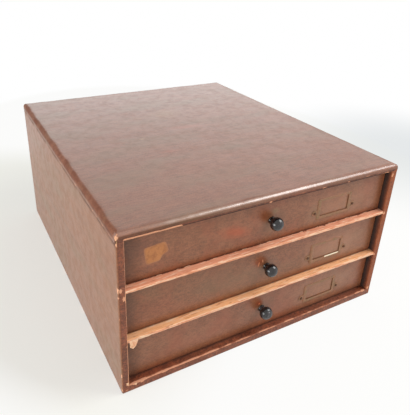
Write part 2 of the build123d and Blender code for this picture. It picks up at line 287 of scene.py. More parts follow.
def makeClothGrain():
    # fine threads that run along X of the given vector, a pebbled grain over them, and their height
    group, given, result = newGroup("clothGrain", {
        "Vector": None, "Along": 30.0, "Across": 500.0, "Pebble": 760.0, "Wander": 0.006,
    }, ["Threads", "Grain", "Height"])
    drift = calc(group, "SUBTRACT", noise(group, given["Vector"], 14.0), 0.5)
    shift = times(group, drift, given["Wander"])
    apart = addNode(group, "SeparateXYZ", {0: given["Vector"]}).outputs
    across = [times(group, calc(group, "ADD", apart[k], shift), given["Across"]) for k in (1, 2)]
    along = times(group, apart[0], given["Along"])
    stretched = addNode(group, "CombineXYZ", {0: along, 1: across[0], 2: across[1]}).outputs[0]
    lines = fade(group, noise(group, stretched, 1.0, 3.0, Roughness=0.55), 0.3, 0.7)
    dots = fade(group, noise(group, given["Vector"], given["Pebble"]), 0.3, 0.7)
    height = plus(group, times(group, lines, 0.65), dots, 0.35)
    return sendOut(group, result, {"Threads": lines, "Grain": dots, "Height": height})


def makeMottle():
    # uneven patches at one scale
    group, given, result = newGroup("mottle", {"Vector": None, "Scale": 20.0, "Low": 0.35, "High": 0.65},
                                    ["Mask"])
    cloud = noise(group, given["Vector"], given["Scale"], 5.0, Roughness=0.6, Distortion=0.4)
    return sendOut(group, result, {"Mask": fade(group, cloud, given["Low"], given["High"])})


def makeBlot():
    # one soft or ragged mark: a turned ellipse round a place, and the ring along its rim
    group, given, result = newGroup("blot", {
        "Vector": None, "Place": None, "Turn": None, "Reach": None, "Soft": 0.5, "Ragged": 0.7, "Grain": 80.0,
    }, ["Mask", "Ring"])
    local = addNode(group, "Mapping", {
        "Vector": given["Vector"], "Location": given["Place"], "Rotation": given["Turn"],
        "Scale": given["Reach"],
    }, vector_type="TEXTURE").outputs[0]
    away = addNode(group, "VectorMath", {0: local}, operation="LENGTH").outputs["Value"]
    cloud = calc(group, "SUBTRACT", noise(group, given["Vector"], given["Grain"], 4.0), 0.5)
    bent = plus(group, away, cloud, given["Ragged"])
    inside = fade(group, bent, calc(group, "SUBTRACT", 1.0, given["Soft"]), 1.0, 1.0, 0.0)
    offRim = calc(group, "ABSOLUTE", calc(group, "SUBTRACT", bent, 0.85))
    return sendOut(group, result, {"Mask": inside, "Ring": fade(group, offRim, 0.0, 0.2, 1.0, 0.0)})


def makeWearMask():
    # turns the worn value of a piece into a ragged mask of bare places, and a wider fringe round them
    group, given, result = newGroup("wearMask", {"Vector": None, "Worn": 0.0, "Ragged": 0.6, "Scale": 170.0},
                                    ["Mask", "Fringe"])
    cloud = noise(group, given["Vector"], given["Scale"], 5.0, Roughness=0.65)
    bent = plus(group, given["Worn"], calc(group, "SUBTRACT", cloud, 0.5), given["Ragged"])
    return sendOut(group, result, {"Mask": fade(group, bent, 0.5, 0.62),
                                   "Fringe": fade(group, bent, 0.2, 0.6)})


def makeWoodGrain():
    # sawn wood with its grain along X of the given vector: rings, pores and fibres
    group, given, result = newGroup("woodGrain", {"Vector": None, "Rings": 90.0, "Fibre": 900.0},
                                    ["Rings", "Fibre", "Pores", "Height"])
    squeezed = mapped(group, given["Vector"], scale=(0.06, 1, 1))
    bend = addNode(group, "TexNoise", {"Vector": squeezed, "Scale": 26.0, "Detail": 2.0}).outputs["Color"]
    scaled = addNode(group, "VectorMath", {0: bend, "Scale": 0.035}, operation="SCALE").outputs[0]
    moved = addNode(group, "VectorMath", {0: squeezed, 1: scaled}, operation="ADD").outputs[0]
    waves = {"Vector": moved, "Scale": given["Rings"], "Distortion": 1.5, "Detail": 2.0, "Detail Scale": 1.2}
    rings = addNode(group, "TexWave", waves, bands_direction="DIAGONAL").outputs["Fac"]
    fibre = noise(group, mapped(group, given["Vector"], scale=(0.02, 1, 1)), given["Fibre"], 4.0)
    pores = fade(group, fibre, 0.62, 0.72)
    return sendOut(group, result, {
        "Rings": fade(group, rings, 0.2, 0.9), "Fibre": fade(group, fibre, 0.3, 0.7), "Pores": pores,
        "Height": calc(group, "SUBTRACT", times(group, fibre, 0.8), pores)})


clothGrain = makeClothGrain()
mottle = makeMottle()
blot = makeBlot()
wearMask = makeWearMask()
woodGrain = makeWoodGrain()
print("shader groups made")


def patches(tree, vector, scale, low, high):
    return useGroup(tree, mottle, {"Vector": vector, "Scale": scale, "Low": low, "High": high})["Mask"]


def wornShare(tree, place, ragged=0.6, scale=170.0):
    return useGroup(tree, wearMask, {"Vector": place, "Worn": painted(tree, "worn"), "Ragged": ragged,
                                     "Scale": scale})


def frontMark(x, z, reachX, reachZ, turn, share, shade):
    # a mark on the face of a drawer
    return (x, -197, z), (reachX, 9, reachZ), (0, turn, 0), share, shade


def topMark(x, y, reachX, reachY, turn, share, shade):
    return (x, y, 191), (reachX, reachY, 20), (0, 0, turn), share, shade


# (38, 24, 18) is the colour of painted shade, and (228, 196, 178) that of a painted highlight
clothLook = {
    "brown": (154, 95, 64), "dark": (104, 60, 39), "light": (166, 110, 80), "green": (126, 96, 64),
    "red": (162, 84, 54), "rubbed": (160, 84, 46), "polishAndPaintedHighlight": (228, 196, 178), "paintedShade": (38, 24, 18),
    "bare": (230, 172, 136), "fringe": (172, 104, 70), "roughness": 0.36, "coatRoughness": 0.2,
}

# the ways that a piece of cloth can differ: turn of the threads in degrees, their spacing, how strong each
# tint is, how ragged its bare places are; a mark is (x, y, z) mm, its reach in mm, turn, share and colour
plainSort = {
    "turn": (0, 0, 0), "along": 200.0, "across": 620.0, "threads": 0.48, "light": 0.2, "green": 0.15,
    "red": 0.4, "spots": 0.26, "coat": 0.1, "coatIor": 1.5, "fray": 0.6, "colours": {}, "marks": [],
}
clothSorts = {
    "topLeathercloth": {
        "along": 60.0, "across": 640.0, "threads": 0.46, "light": 0.12, "green": 0.5, "red": 0.12,
        "spots": 0.2, "coat": 0.46, "coatIor": 1.9,
        # (60, 32, 20) is painted shade low on the front rounding and along the lap
        "colours": {"rubbed": (112, 58, 32), "paintedShade": (60, 32, 20)},
        "marks": [
            topMark(4, 74, 30, 22, 20, 0.35, (168, 130, 90)), topMark(10, 8, 40, 8, -8, 0.5, (172, 88, 60)),
            topMark(30, -82, 30, 14, 12, 0.35, (108, 84, 56)),
            topMark(-67, -9, 5, 3.5, 0, 0.45, (190, 146, 110)),
            topMark(-52, -60, 16, 5, -4, 0.35, (182, 92, 62)),
        ]},
    "sideLeathercloth": {
        "turn": (0, 0, -90), "along": 26.0, "across": 560.0, "threads": 0.34, "light": 0.1, "green": 0.5,
        # (70, 38, 22) is a painted shadow under the lap of the top
        "red": 0.03, "spots": 0.1, "coat": 0.08, "colours": {"brown": (152, 98, 64), "paintedShade": (70, 38, 22)},
        "marks": [
            ((-175, 60, 104), (20, 130, 2.2), (-3, 0, 0), 0.4, (118, 80, 54)),
            ((-175, 20, 92), (20, 150, 2.6), (-4, 0, 0), 0.45, (110, 74, 50)),
            ((-175, -120, 60), (20, 90, 4), (-8, 0, 0), 0.25, (112, 74, 52)),
        ]},
    "backLeathercloth": {
        "along": 16.0, "across": 420.0, "threads": 0.6, "green": 0.2, "red": 0.1, "spots": 0.15, "coat": 0.2},
    "bindingCloth": {
        "along": 260.0, "across": 380.0, "threads": 0.75, "fray": 0.32, "light": 0.15, "green": 0.1,
        "red": 0.5, "spots": 0.5, "coat": 0.0,
        "colours": {"brown": (150, 80, 50), "dark": (86, 40, 24), "bare": (222, 158, 124),
                    "roughness": 0.48}},
    "upperDrawerCloth": {"marks": [
        # the first mark is grime round the knob and also its painted shadow and reflection on the cloth below
        # it
        frontMark(0, 152, 22, 18, 0, 0.45, (128, 98, 72)), frontMark(-11, 163, 9, 6, 20, 0.7, (116, 58, 30)),
        frontMark(4, 166, 6, 4.5, 0, 0.55, (140, 116, 76)),
        frontMark(-44, 153, 24, 8, 15, 0.65, (186, 84, 46)),
        frontMark(60, 150, 9, 12, 0, 0.55, (136, 104, 74)), frontMark(58, 149, 3, 5, 0, 0.75, (106, 56, 32)),
        # painted sheen: a lighter patch at the right end, a painted reflection
        frontMark(104, 150, 62, 26, 0, 0.5, (172, 122, 92)),
        # painted shade at the left end, where the post shades the face
        frontMark(-150, 165, 26, 16, 0, 0.45, (100, 64, 50)),
    ]},
    "middleDrawerCloth": {"green": 0.35, "red": 0.3, "marks": [
        # the first mark is grime round the knob and also its painted shadow and reflection on the cloth below
        # it
        frontMark(0, 90, 24, 20, 0, 0.4, (120, 96, 72)), frontMark(-60, 95, 60, 22, 5, 0.5, (120, 94, 68)),
        frontMark(-10, 105, 9, 7, 0, 0.6, (156, 72, 44)),
        frontMark(-10.5, 102, 0.9, 3.2, 12, 1.0, (224, 140, 100)),
        frontMark(-5.5, 105, 0.8, 2.6, -12, 1.0, (230, 158, 120)),
        frontMark(104, 103.5, 18, 4, 15, 0.4, (176, 88, 58)),
        # painted sheen: a lighter patch at the right end, a painted reflection
        frontMark(106, 94, 62, 28, 0, 0.6, (176, 126, 96)),
        frontMark(54, 94, 4, 5, 0, 0.65, (112, 64, 40)),
    ]},
    "lowerDrawerCloth": {"marks": [
        # the first mark is grime round the knob and also its painted shadow and reflection on the cloth below
        # it
        frontMark(0, 37, 22, 16, 0, 0.4, (124, 96, 70)), frontMark(-5, 46, 6, 5, 0, 0.8, (148, 66, 38)),
        frontMark(-3.5, 44.8, 1.3, 1.3, 0, 1.0, (226, 124, 84)),
        # painted sheen: a lighter patch at the right end, a painted reflection
        frontMark(104, 36, 60, 26, 0, 0.5, (170, 122, 92)),
        frontMark(57, 30, 3, 6, 0, 0.5, (112, 68, 44)), frontMark(-100, 28, 50, 10, 0, 0.3, (164, 88, 60)),
    ]},
}


def addMark(tree, place, colour, at, reach, turn, share, shade):
    # a soft mark, or a sharper one where it is small, with a little more of its shade along the rim
    mark = useGroup(tree, blot, {
        "Vector": place, "Place": tuple(v * mm for v in at), "Reach": tuple(v * mm for v in reach),
        "Turn": tuple(radians(v) for v in turn), "Soft": 0.8 if min(reach) > 3 else 0.45})
    inside, rim = times(tree, mark["Mask"], 0.8 * share), times(tree, mark["Ring"], 0.2 * share)
    return tint(tree, colour, calc(tree, "ADD", inside, rim, clamped=True), shade)


def makeCloth(name):
    sort = plainSort | clothSorts[name]
    look = clothLook | sort["colours"]
    material, tree, shader, place = newMaterial(name, **{
        "Coat Roughness": look["coatRoughness"], "Coat IOR": sort["coatIor"]})
    turned = mapped(tree, place, turn=sort["turn"])
    grain = useGroup(tree, clothGrain, {"Vector": turned, "Along": sort["along"], "Across": sort["across"]})
    aside = (0.31, 0.17, 0.73)
    drawn = mapped(tree, turned, scale=(0.3, 1, 1))
    fine = patches(tree, place, 85.0, 0.38, 0.68)
    woven = calc(tree, "SUBTRACT", calc(tree, "ADD", grain["Threads"], grain["Grain"]), 0.4)
    woven = times(tree, woven, 1.17 * sort["threads"], clamped=True)
    colour = tint(tree, tone(*look["brown"]), woven, look["dark"])
    colour = tint(tree, colour, patches(tree, drawn, 22.0, 0.35, 0.65), look["light"], sort["light"])
    greenish = patches(tree, mapped(tree, drawn, aside), 26.0, 0.42, 0.68)
    colour = tint(tree, colour, greenish, look["green"], sort["green"])
    reddish = patches(tree, mapped(tree, place, aside), 29.0, 0.45, 0.7)
    colour = tint(tree, colour, reddish, look["red"], sort["red"])
    colour = tint(tree, colour, fine, look["dark"], sort["spots"])
    for mark in sort["marks"]:
        colour = addMark(tree, place, colour, *mark)
    # the pale tint is a painted highlight on the polished strip, which also gets more coat; the dark tint
    # that the pieces lay on is painted shade, rougher and with less coat
    polishAndPaintedHighlight, rubbed, paintedShade = (painted(tree, label) for label in ("polishAndPaintedHighlight", "rubbed", "paintedShade"))
    worn = wornShare(tree, place, sort["fray"])
    for mask, shade in ((times(tree, polishAndPaintedHighlight, 0.3, clamped=True), "polishAndPaintedHighlight"),
                        (times(tree, rubbed, fade(tree, fine, -0.8, 1.0)), "rubbed"), (paintedShade, "paintedShade"),
                        (times(tree, worn["Fringe"], 0.7), "fringe"), (worn["Mask"], "bare")):
        colour = tint(tree, colour, mask, look[shade])
    rough = plus(tree, look["roughness"] - 0.05, fine, 0.1)
    rough = plus(tree, rough, worn["Mask"], 0.4)
    rough = plus(tree, rough, calc(tree, "MAXIMUM", rubbed, paintedShade), 0.3)
    polish = plus(tree, sort["coat"], polishAndPaintedHighlight, 0.3)
    polish = calc(tree, "SUBTRACT", polish, times(tree, rubbed, 0.5), clamped=True)
    polish = calc(tree, "SUBTRACT", polish, calc(tree, "ADD", worn["Mask"], paintedShade), clamped=True)
    tree.links.new(polish, shader.inputs["Coat Weight"])
    wireUp(tree, shader, colour, rough, grain["Height"], 0.35, 0.12 * mm)
    return material


# (96, 46, 28) is a painted shadow along the drawer's foot and along the board's lower edge
shelfLook = {
    "salmon": (240, 158, 120), "pale": (255, 222, 190), "yellow": (255, 186, 128), "crack": (156, 76, 46),
    "paintedShade": (96, 46, 28), "roughness": 0.75, "rings": 60.0, "fibre": 700.0,
}


def makeShelfWood(name, topColour):
    # streaks of pale fuzz and brown cracks drawn out along the board, and chips over them
    look = shelfLook
    material, tree, shader, place = newMaterial(name, look["roughness"])
    grain = useGroup(tree, woodGrain, {"Vector": place, "Rings": look["rings"], "Fibre": look["fibre"]})
    fuzz = noise(tree, mapped(tree, place, scale=(0.07, 1, 1)), 620.0, 3.0)
    chips = noise(tree, mapped(tree, place, scale=(0.16, 1, 1)), 560.0, 4.0)
    streaks = fade(tree, fuzz, 0.42, 0.62)
    edge = tint(tree, tone(*look["salmon"]), streaks, look["pale"], 0.8)
    top = tint(tree, tone(*topColour), streaks, look["pale"], 0.25)
    colour = blendColour(tree, painted(tree, "onTop"), edge, top)
    # the last tint is a painted shadow along the drawer's foot and the board's lower edge
    for mask, shade in ((times(tree, patches(tree, place, 55.0, 0.4, 0.7), 0.1), "crack"),
                        (fade(tree, fuzz, 0.3, 0.42, 0.45, 0.0), "crack"),
                        (fade(tree, chips, 0.56, 0.66, 0.0, 0.6), "pale"),
                        (fade(tree, chips, 0.32, 0.42, 0.4, 0.0), "crack"), (painted(tree, "paintedShade"), "paintedShade")):
        colour = tint(tree, colour, mask, look[shade])
    wireUp(tree, shader, colour, None, calc(tree, "ADD", fuzz, grain["Fibre"]), 0.5, 0.2 * mm)
    return material


woodLook = {
    "case": {"pale": (196, 156, 112), "dark": (162, 116, 76), "pore": (120, 82, 52)},
    "drawer": {"pale": (206, 170, 128), "dark": (176, 132, 90), "pore": (132, 94, 62)},
    "roughness": 0.62, "rings": 70.0, "fibre": 1100.0,
}


def makePlainWood(kind, way, turn):
    look = woodLook[kind]
    material, tree, shader, place = newMaterial(kind + "Wood" + way, woodLook["roughness"])
    grain = useGroup(tree, woodGrain, {"Vector": mapped(tree, place, turn=turn), "Rings": woodLook["rings"],
                                       "Fibre": woodLook["fibre"]})
    colour = tone(*look["pale"])
    for mask, share, shade in ((grain["Rings"], 0.4, "dark"), (grain["Fibre"], 0.25, "dark"),
                               (grain["Pores"], 0.5, "pore"),
                               (patches(tree, place, 14.0, 0.45, 0.75), 0.25, "pore")):
        colour = tint(tree, colour, mask, look[shade], share)
    rough = plus(tree, woodLook["roughness"], grain["Fibre"], 0.12)
    wireUp(tree, shader, colour, rough, grain["Height"], 0.25, 0.15 * mm)
    return material


# finishes of the small pieces: clouds and specks are patches (scale, lower and upper limit), fibres are noise
# (scale, detail); second is the clouds' share and colour, fleck that of the specks or fibres, thin that of
# the rubbed places; bump is strength and depth in mm
smallLooks = {
    "knobBlack": {
        "roughness": 0.16, "shader": {"Specular IOR Level": 0.5, "Coat Weight": 0.4, "Coat Roughness": 0.08},
        "clouds": (260.0, 0.45, 0.75), "fibres": (900.0, 3.0), "base": (14, 10, 11),
        "second": (0.25, (92, 84, 88)),
        "rougher": 0.12, "bump": (0.06, 0.1)},
    "knobBlackDull": {
        "roughness": 0.3, "shader": {"Specular IOR Level": 0.5, "Coat Weight": 0.4, "Coat Roughness": 0.15},
        "clouds": (260.0, 0.45, 0.75), "fibres": (900.0, 3.0), "base": (14, 10, 11),
        "second": (0.7, (92, 84, 88)),
        "rougher": 0.12, "bump": (0.06, 0.1)},
    # the pale worn colour of the bronze shows only along the middle holder's lip, as a painted highlight
    "dullBronze": {
        "roughness": 0.36, "shader": {"Metallic": 0.25}, "clouds": (160.0, 0.35, 0.7),
        "specks": (620.0, 0.5, 0.7),
        "base": (158, 108, 80), "second": (1, (142, 112, 82)), "fleck": (0.3, (104, 68, 48)),
        "worn": (0.3, 900.0, (255, 240, 214)), "rougher": 0.2, "bump": (0.12, 0.1)},
    "agedPin": {
        "roughness": 0.4, "shader": {"Metallic": 0.5}, "clouds": (420.0, 0.35, 0.65), "base": (74, 58, 46),
        "second": (1, (120, 66, 38)), "rougher": 0.3, "bump": (0.3, 0.15)},
    "plainSteel": {
        "roughness": 0.3, "shader": {"Metallic": 0.9}, "clouds": (300.0, 0.35, 0.7), "base": (176, 172, 166),
        "second": (1, (132, 122, 112)), "rougher": 0.25, "bump": (0.15, 0.1)},
    "driedGlue": {
        "roughness": 0.45, "clouds": (110.0, 0.4, 0.65), "fibres": (600.0, 4.0), "base": (190, 122, 70),
        "second": (1, (162, 100, 62)), "fleck": (0.4, (204, 144, 92)), "thin": (0.75, clothLook["light"]),
        "rougher": 0.2, "bump": (0.12, 0.1)},
    "tornBacking": {
        "roughness": 0.85, "clouds": (240.0, 0.4, 0.65), "fibres": (1300.0, 4.0), "base": (240, 196, 160),
        "second": (1, (224, 160, 124)), "fleck": (0.6, (250, 214, 170)), "bump": (0.5, 0.15)},
    "tornCloth": {
        "roughness": 0.6, "clouds": (200.0, 0.35, 0.65), "fibres": (1200.0, 3.0), "base": (136, 74, 48),
        "second": (1, (96, 52, 36)), "worn": (0.8, 900.0, (250, 206, 168)), "bump": (0.4, 0.15)},
}


def makeSmall(name):
    look = smallLooks[name]
    material, tree, shader, place = newMaterial(name, look["roughness"], **look.get("shader", {}))
    clouds = fine = patches(tree, place, *look["clouds"])
    share, shade = look["second"]
    colour = tint(tree, tone(*look["base"]), clouds, shade, share)
    if "fibres" in look:
        fine = noise(tree, place, *look["fibres"])
    if "specks" in look:
        fine = patches(tree, place, *look["specks"])
    if "fleck" in look:
        share, shade = look["fleck"]
        flecks = fade(tree, fine, 0.5, 0.75) if "fibres" in look else fine
        colour = tint(tree, colour, flecks, shade, share)
    if "thin" in look:
        share, shade = look["thin"]
        colour = tint(tree, colour, painted(tree, "rubbed"), shade, share)
    if "worn" in look:
        ragged, scale, shade = look["worn"]
        colour = tint(tree, colour, wornShare(tree, place, ragged, scale)["Mask"], shade)
    rough = plus(tree, look["roughness"], clouds, look["rougher"]) if "rougher" in look else None
    strength, depth = look["bump"]
    wireUp(tree, shader, colour, rough, fine, strength, depth * mm)
    return material


cloths = {name: makeCloth(name) for name in clothSorts}
smalls = {name: makeSmall(name) for name in smallLooks}
shelfWoods = {"upper": makeShelfWood("upperShelfWood", shelfLook["salmon"]),
              "lower": makeShelfWood("lowerShelfWood", shelfLook["yellow"])}
woods = {kind + way: makePlainWood(kind, way, turn)
         for kind in ("case", "drawer") for way, turn in (("Along", (0, 0, -90)), ("Across", (0, 0, 0)))}
print("materials made")


skin = {
    "edgeRadius": 5.0 * mm, "cornerRadius": 1.5 * mm, "lap": 9.5 * mm, "lapWave": 0.2 * mm,
    "lapWaveLength": 60 * mm, "stand": 0.12 * mm, "sideRecess": 0.16 * mm, "thickness": 0.35 * mm,
    "step": 3.0 * mm, "arcSteps": 10, "cornerSteps": 6, "swell": 0.05 * mm, "swellLength": 36 * mm,
    "swellSeed": 5, "edgeLump": 0.035 * mm, "edgeLumpLength": 9 * mm, "baseRound": 2.0 * mm,
    "backOverlap": 0.6 * mm,
}

# how the cloth of the top is worn, where a painted highlight lies on the polished strip in front and painted
# shade low on the front rounding: each pair is where a change begins and ends, in mm; a share is a strength
topWear = {
    "rubbedSides": (-0.8, 2.2), "rubbedFront": (-1.4, 0.8), "rubbedFrontEnd": (0.3, 1.2), "rubbedShare": 0.95,
    "rubbedFrontShare": 0.45, "rubbedWave": 0.6 * mm, "rubbedWaveLength": 45 * mm, "lapShare": 0.45,
    "lapFade": (2.6, 3.8), "polishStart": (0.03, 0.3), "polishEnd": (1.5, 2.8), "polishLeft": (-150, -95),
    "polishLeftShare": 0.3, "polishRight": (20, 120), "polishRightDrop": 1.3, "frayHeight": 1.0 * mm,
    "frayReach": (0.4, 1.2), "frayLength": 24 * mm, "lineHeight": 4.0 * mm, "lineReach": (0.5, 1.4),
    "lineLength": 38 * mm, "brokenShare": 0.3, "brokenWave": 0.25, "lowRoundShade": (2.4, 3.4), "lowRoundShadeShare": 0.55,
    "lowRoundShadeRight": (-120, -60), "lowRoundShadeRightDrop": 0.3,
    "places": [
        ((-174.3, -204.8, 187.5), (1.7, 1.7, 4.6), 1.1), ((-173, -203.5, 190.5), (1.4, 1.6, 1.4), 0.8),
        ((174.4, 204.6, 187), (2, 2, 3), 0.9), ((-174.4, 204.6, 187), (2, 2, 3), 0.9),
        ((174.4, -204.8, 187), (1.6, 1.6, 2.5), 0.5),
    ],
}


def planOutline(halfX, halfY, inset, radius, runX, runY, cornerSteps):
    # rounded rectangle, anticlockwise from its front left: four quarter arcs and four straight runs, cut at
    # the same shares at every inset; also the way out at each point
    bend = max(radius - inset, 0.0)
    reachX, reachY = halfX - inset - bend, halfY - inset - bend
    points, ways = [], []
    quarters = ((-1, -1, runX, reachX), (1, -1, runY, reachY), (1, 1, runX, reachX), (-1, 1, runY, reachY))
    for quarter, (cx, cy, run, length) in enumerate(quarters):
        start = radians(180 + 90 * quarter)
        angles = start + np.linspace(0, pi / 2, cornerSteps + 1)
        out = np.stack([np.cos(angles), np.sin(angles)], -1)
        points.append(np.array([cx * reachX, cy * reachY]) + bend * out)
        ways.append(out)
        along = np.array([-sin(start + pi / 2), cos(start + pi / 2)])
        inner = np.linspace(0, 2 * length, run + 2)[1:-1, None]
        points.append(points[-1][-1] + along * inner)
        ways.append(np.repeat(out[-1:], run, 0))
    return np.concatenate(points), np.concatenate(ways)


def coverTop():
    # the flat of the top is a grid; round it a profile of quarter arc and lap is carried along the outline
    radius, stand = skin["edgeRadius"], skin["stand"]
    runX = int(2 * halfWidth / skin["step"])
    runY = int(2 * halfDepth / skin["step"])
    flatX = np.linspace(-1, 1, runX + 2) * (halfWidth - radius)
    flatY = np.linspace(-1, 1, runY + 2) * (halfDepth - radius)
    gx, gy = np.meshgrid(flatX, flatY)
    flat = np.stack([gx, gy, np.full_like(gx, caseTop + stand)], -1)
    rows = []
    for turn in np.linspace(pi / 2, 0, skin["arcSteps"]):
        inset = radius - (radius + stand) * cos(turn)
        outline, ways = planOutline(halfWidth, halfDepth, inset, skin["cornerRadius"], runX, runY,
                                    skin["cornerSteps"])
        height = np.full((len(outline), 1), caseTop - radius + (radius + stand) * sin(turn))
        rows.append(np.concatenate([outline, height], 1))
    outline, ways = planOutline(halfWidth, halfDepth, -stand, skin["cornerRadius"], runX, runY,
                                skin["cornerSteps"])
    around = np.concatenate([[0], np.cumsum(np.linalg.norm(np.diff(outline, axis=0), axis=1))])
    front = smoothStep(-ways[:, 1], 0.3, 0.95)
    lapLevel = caseTop - skin["lap"]
    lapEnd = lapLevel - skin["lapWave"] * ragged(around, 11, skin["lapWaveLength"], 3)
    lapEnd = lapEnd * (1 - front) + (caseTop - radius - 0.05 * mm) * front
    for share in (0.4, 0.8, 1.0):
        height = (caseTop - radius) * (1 - share) + lapEnd * share
        rows.append(np.concatenate([outline, height[:, None]], 1))
    ring = np.stack(rows)
    closed = np.concatenate([ring, ring[:, :1]], 1)

    def uneven(points):
        edge = np.minimum(halfWidth - abs(points[:, 0]), halfDepth - abs(points[:, 1]))
        calm = swell(points[:, 0], points[:, 1], skin["swellSeed"], skin["swellLength"]) * skin["swell"]
        lumps = swell(points[:, 0], points[:, 1], 8, skin["edgeLumpLength"]) * skin["edgeLump"]
        return calm + lumps * (1 - between(edge, 2, 12))

    def rubbed(points):
        # the rounded edges are rubbed, more so on the sides than in front, with an uneven inner limit
        out = np.maximum(abs(points[:, 0]) - halfWidth, abs(points[:, 1]) - halfDepth) + radius
        inFront = points[:, 1] < -halfDepth + radius
        wave = swell(points[:, 0], points[:, 1], 17, topWear["rubbedWaveLength"])
        fromEdge = out - topWear["rubbedWave"] * wave
        onTurn = np.where(inFront, between(fromEdge, *topWear["rubbedFront"]),
                          between(fromEdge, *topWear["rubbedSides"]))
        offTurn = 1 - between(out, *topWear["rubbedFrontEnd"]) * inFront
        offLap = between(points[:, 2] - lapLevel, *topWear["lapFade"])
        offLap = topWear["lapShare"] + (1 - topWear["lapShare"]) * offLap
        share = np.where(inFront, topWear["rubbedFrontShare"], topWear["rubbedShare"])
        return share * onTurn * offTurn * offLap

    def polishAndPaintedHighlight(points):
        # the rounding in front is polished by hands and carries a painted highlight, less at its left end and
        # not at all at its right
        below = caseTop - points[:, 2]
        across = between(below, *topWear["polishStart"]) * (1 - between(below, *topWear["polishEnd"]))
        left = topWear["polishLeftShare"]
        along = left + (1 - left) * between(points[:, 0], *topWear["polishLeft"])
        along = along * (1 - topWear["polishRightDrop"] * between(points[:, 0], *topWear["polishRight"]))
        along = along * (0.85 + 0.2 * ragged(points[:, 0], 71, 26 * mm))
        return np.clip(across * along, -1, 1) * (points[:, 1] < -halfDepth + radius)

    def brokenLine(points, height, reach, seed, wavelength):
        # a broken line of uneven strength round the lap, at a height over its lower limit
        around = np.where(abs(points[:, 0]) > halfWidth - 1 * mm, points[:, 1], points[:, 0] + 2 * halfDepth)
        line = 1 - between(abs(points[:, 2] - lapLevel - height), *reach)
        broken = topWear["brokenShare"] + topWear["brokenWave"] * ragged(around, seed, wavelength)
        return line * (points[:, 1] > -halfDepth + 1 * mm), broken

    def worn(points):
        # beside the single places, the lower limit of the lap is frayed pale in long broken lines, which are
        # also a painted highlight along the lap's edge
        line, broken = brokenLine(points, topWear["frayHeight"], topWear["frayReach"], 29,
                                  topWear["frayLength"])
        return np.maximum(wornPlaces(points, topWear["places"]), line * broken)

    def paintedShade(points):
        # painted shade: a dark line where the lap bends over the edge of the board, and shade painted low on
        # the rounding in front, more so at its left end
        line, broken = brokenLine(points, topWear["lineHeight"], topWear["lineReach"], 33,
                                  topWear["lineLength"])
        foot = between(caseTop - points[:, 2], *topWear["lowRoundShade"]) * (points[:, 1] < -halfDepth + 2.2 * mm)
        rightward = between(points[:, 0], *topWear["lowRoundShadeRight"])
        share = topWear["lowRoundShadeShare"] - topWear["lowRoundShadeRightDrop"] * rightward
        return np.maximum(line * np.clip(broken, 0, 0.7), foot * share)

    piece = makePiece(
        "topCloth", [flat, closed], cloths["topLeathercloth"], "case", ["top_covering"],
        skin["thickness"], {"worn": worn, "rubbed": rubbed, "polishAndPaintedHighlight": polishAndPaintedHighlight, "paintedShade": paintedShade},
        shiftAlong=uneven, lookFrom=(0, 0, 1), sharpAngle=50)


def coverSide(name, node, material, path, worn, lookFrom, seed):
    # the path on the floor plan, carried straight up from the foot to under the lap of the top
    path = np.asarray(path)
    seam = caseTop - skin["lap"]
    heights = np.concatenate([np.linspace(skin["baseRound"], seam - 2 * mm, 58),
                              np.linspace(seam - 1.6 * mm, seam + 1.0 * mm, 8)])
    column = np.repeat(path[None], len(heights), 0)
    grid = np.concatenate([column, np.broadcast_to(heights[:, None, None], column.shape[:2] + (1,))], 2)

    def uneven(points):
        return swell(points[:, 0] + points[:, 1], points[:, 2], seed, skin["swellLength"]) * skin["swell"]

    def lapShadow(points):
        # painted shadow under the lap of the top: a dark line, broken and of uneven strength, and wide open
        # in one place
        below = seam - points[:, 2]
        strength = 0.75 + 0.25 * ragged(points[:, 0] + points[:, 1], seed, 45 * mm, 4)
        strength = strength + 0.6 * np.exp(-((points[:, 1] - 65 * mm) / (8 * mm)) ** 2)
        return np.clip(strength, 0, 1) * (1 - between(below, 1.3, 2.6))

    piece = makePiece(name, [grid], material, "case", [node], skin["thickness"],
                      {"worn": worn, "paintedShade": lapShadow}, shiftAlong=uneven, lookFrom=lookFrom, sharpAngle=60)


def cornerArc(cx, cy, startTurn, endTurn):
    # quarter arc round a corner of the box, seen from above; turns in degrees
    radius = skin["cornerRadius"]
    bend = radius - skin["sideRecess"]
    turns = np.radians(np.linspace(startTurn, endTurn, skin["cornerSteps"] + 1))
    middle = np.array([cx * (halfWidth - radius), cy * (halfDepth - radius)])
    return middle + bend * np.stack([np.cos(turns), np.sin(turns)], -1)


def straightRun(start, end):
    start, end = np.array(start), np.array(end)
    count = int(np.linalg.norm(end - start) / skin["step"]) + 1
    return start + (end - start) * np.linspace(0, 1, count + 1)[:, None]


# single worn places on the left side
leftWorn = [
    ((-175, -204.8, 132), (2, 3.2, 4.2), 1.0), ((-175, -204.8, 122.5), (2, 1.6, 2.6), 0.9),
    ((-175, -205, 181), (2, 1.5, 3), 0.8), ((-175, -205, 26), (2, 2.4, 5), 0.75),
    ((-175, -204, 6), (2, 3, 4), 0.8), ((-175, -205, 98), (2, 1, 2.5), 0.6), ((-175, 203, 6), (2, 3, 4), 0.7),
    ((-175, 203, 182), (2, 2, 3), 0.6),
]


def edgeWorn(seed, strength):
    # broken pale wear along the upright corners in front, and the left side's single places

    def worn(points):
        edge = 1 - between(points[:, 1] + halfDepth, 0.1, 1.3)
        broken = strength + 0.22 * ragged(points[:, 2], seed, 14 * mm)
        single = wornPlaces(points, leftWorn) * (points[:, 0] < 0)
        return np.maximum(single, edge * broken)

    return worn


def backWorn(points):
    edge = 1 - between(halfWidth - abs(points[:, 0]), 0.1, 1.2)
    return edge * (0.25 + 0.25 * ragged(points[:, 2], 23, 12 * mm))


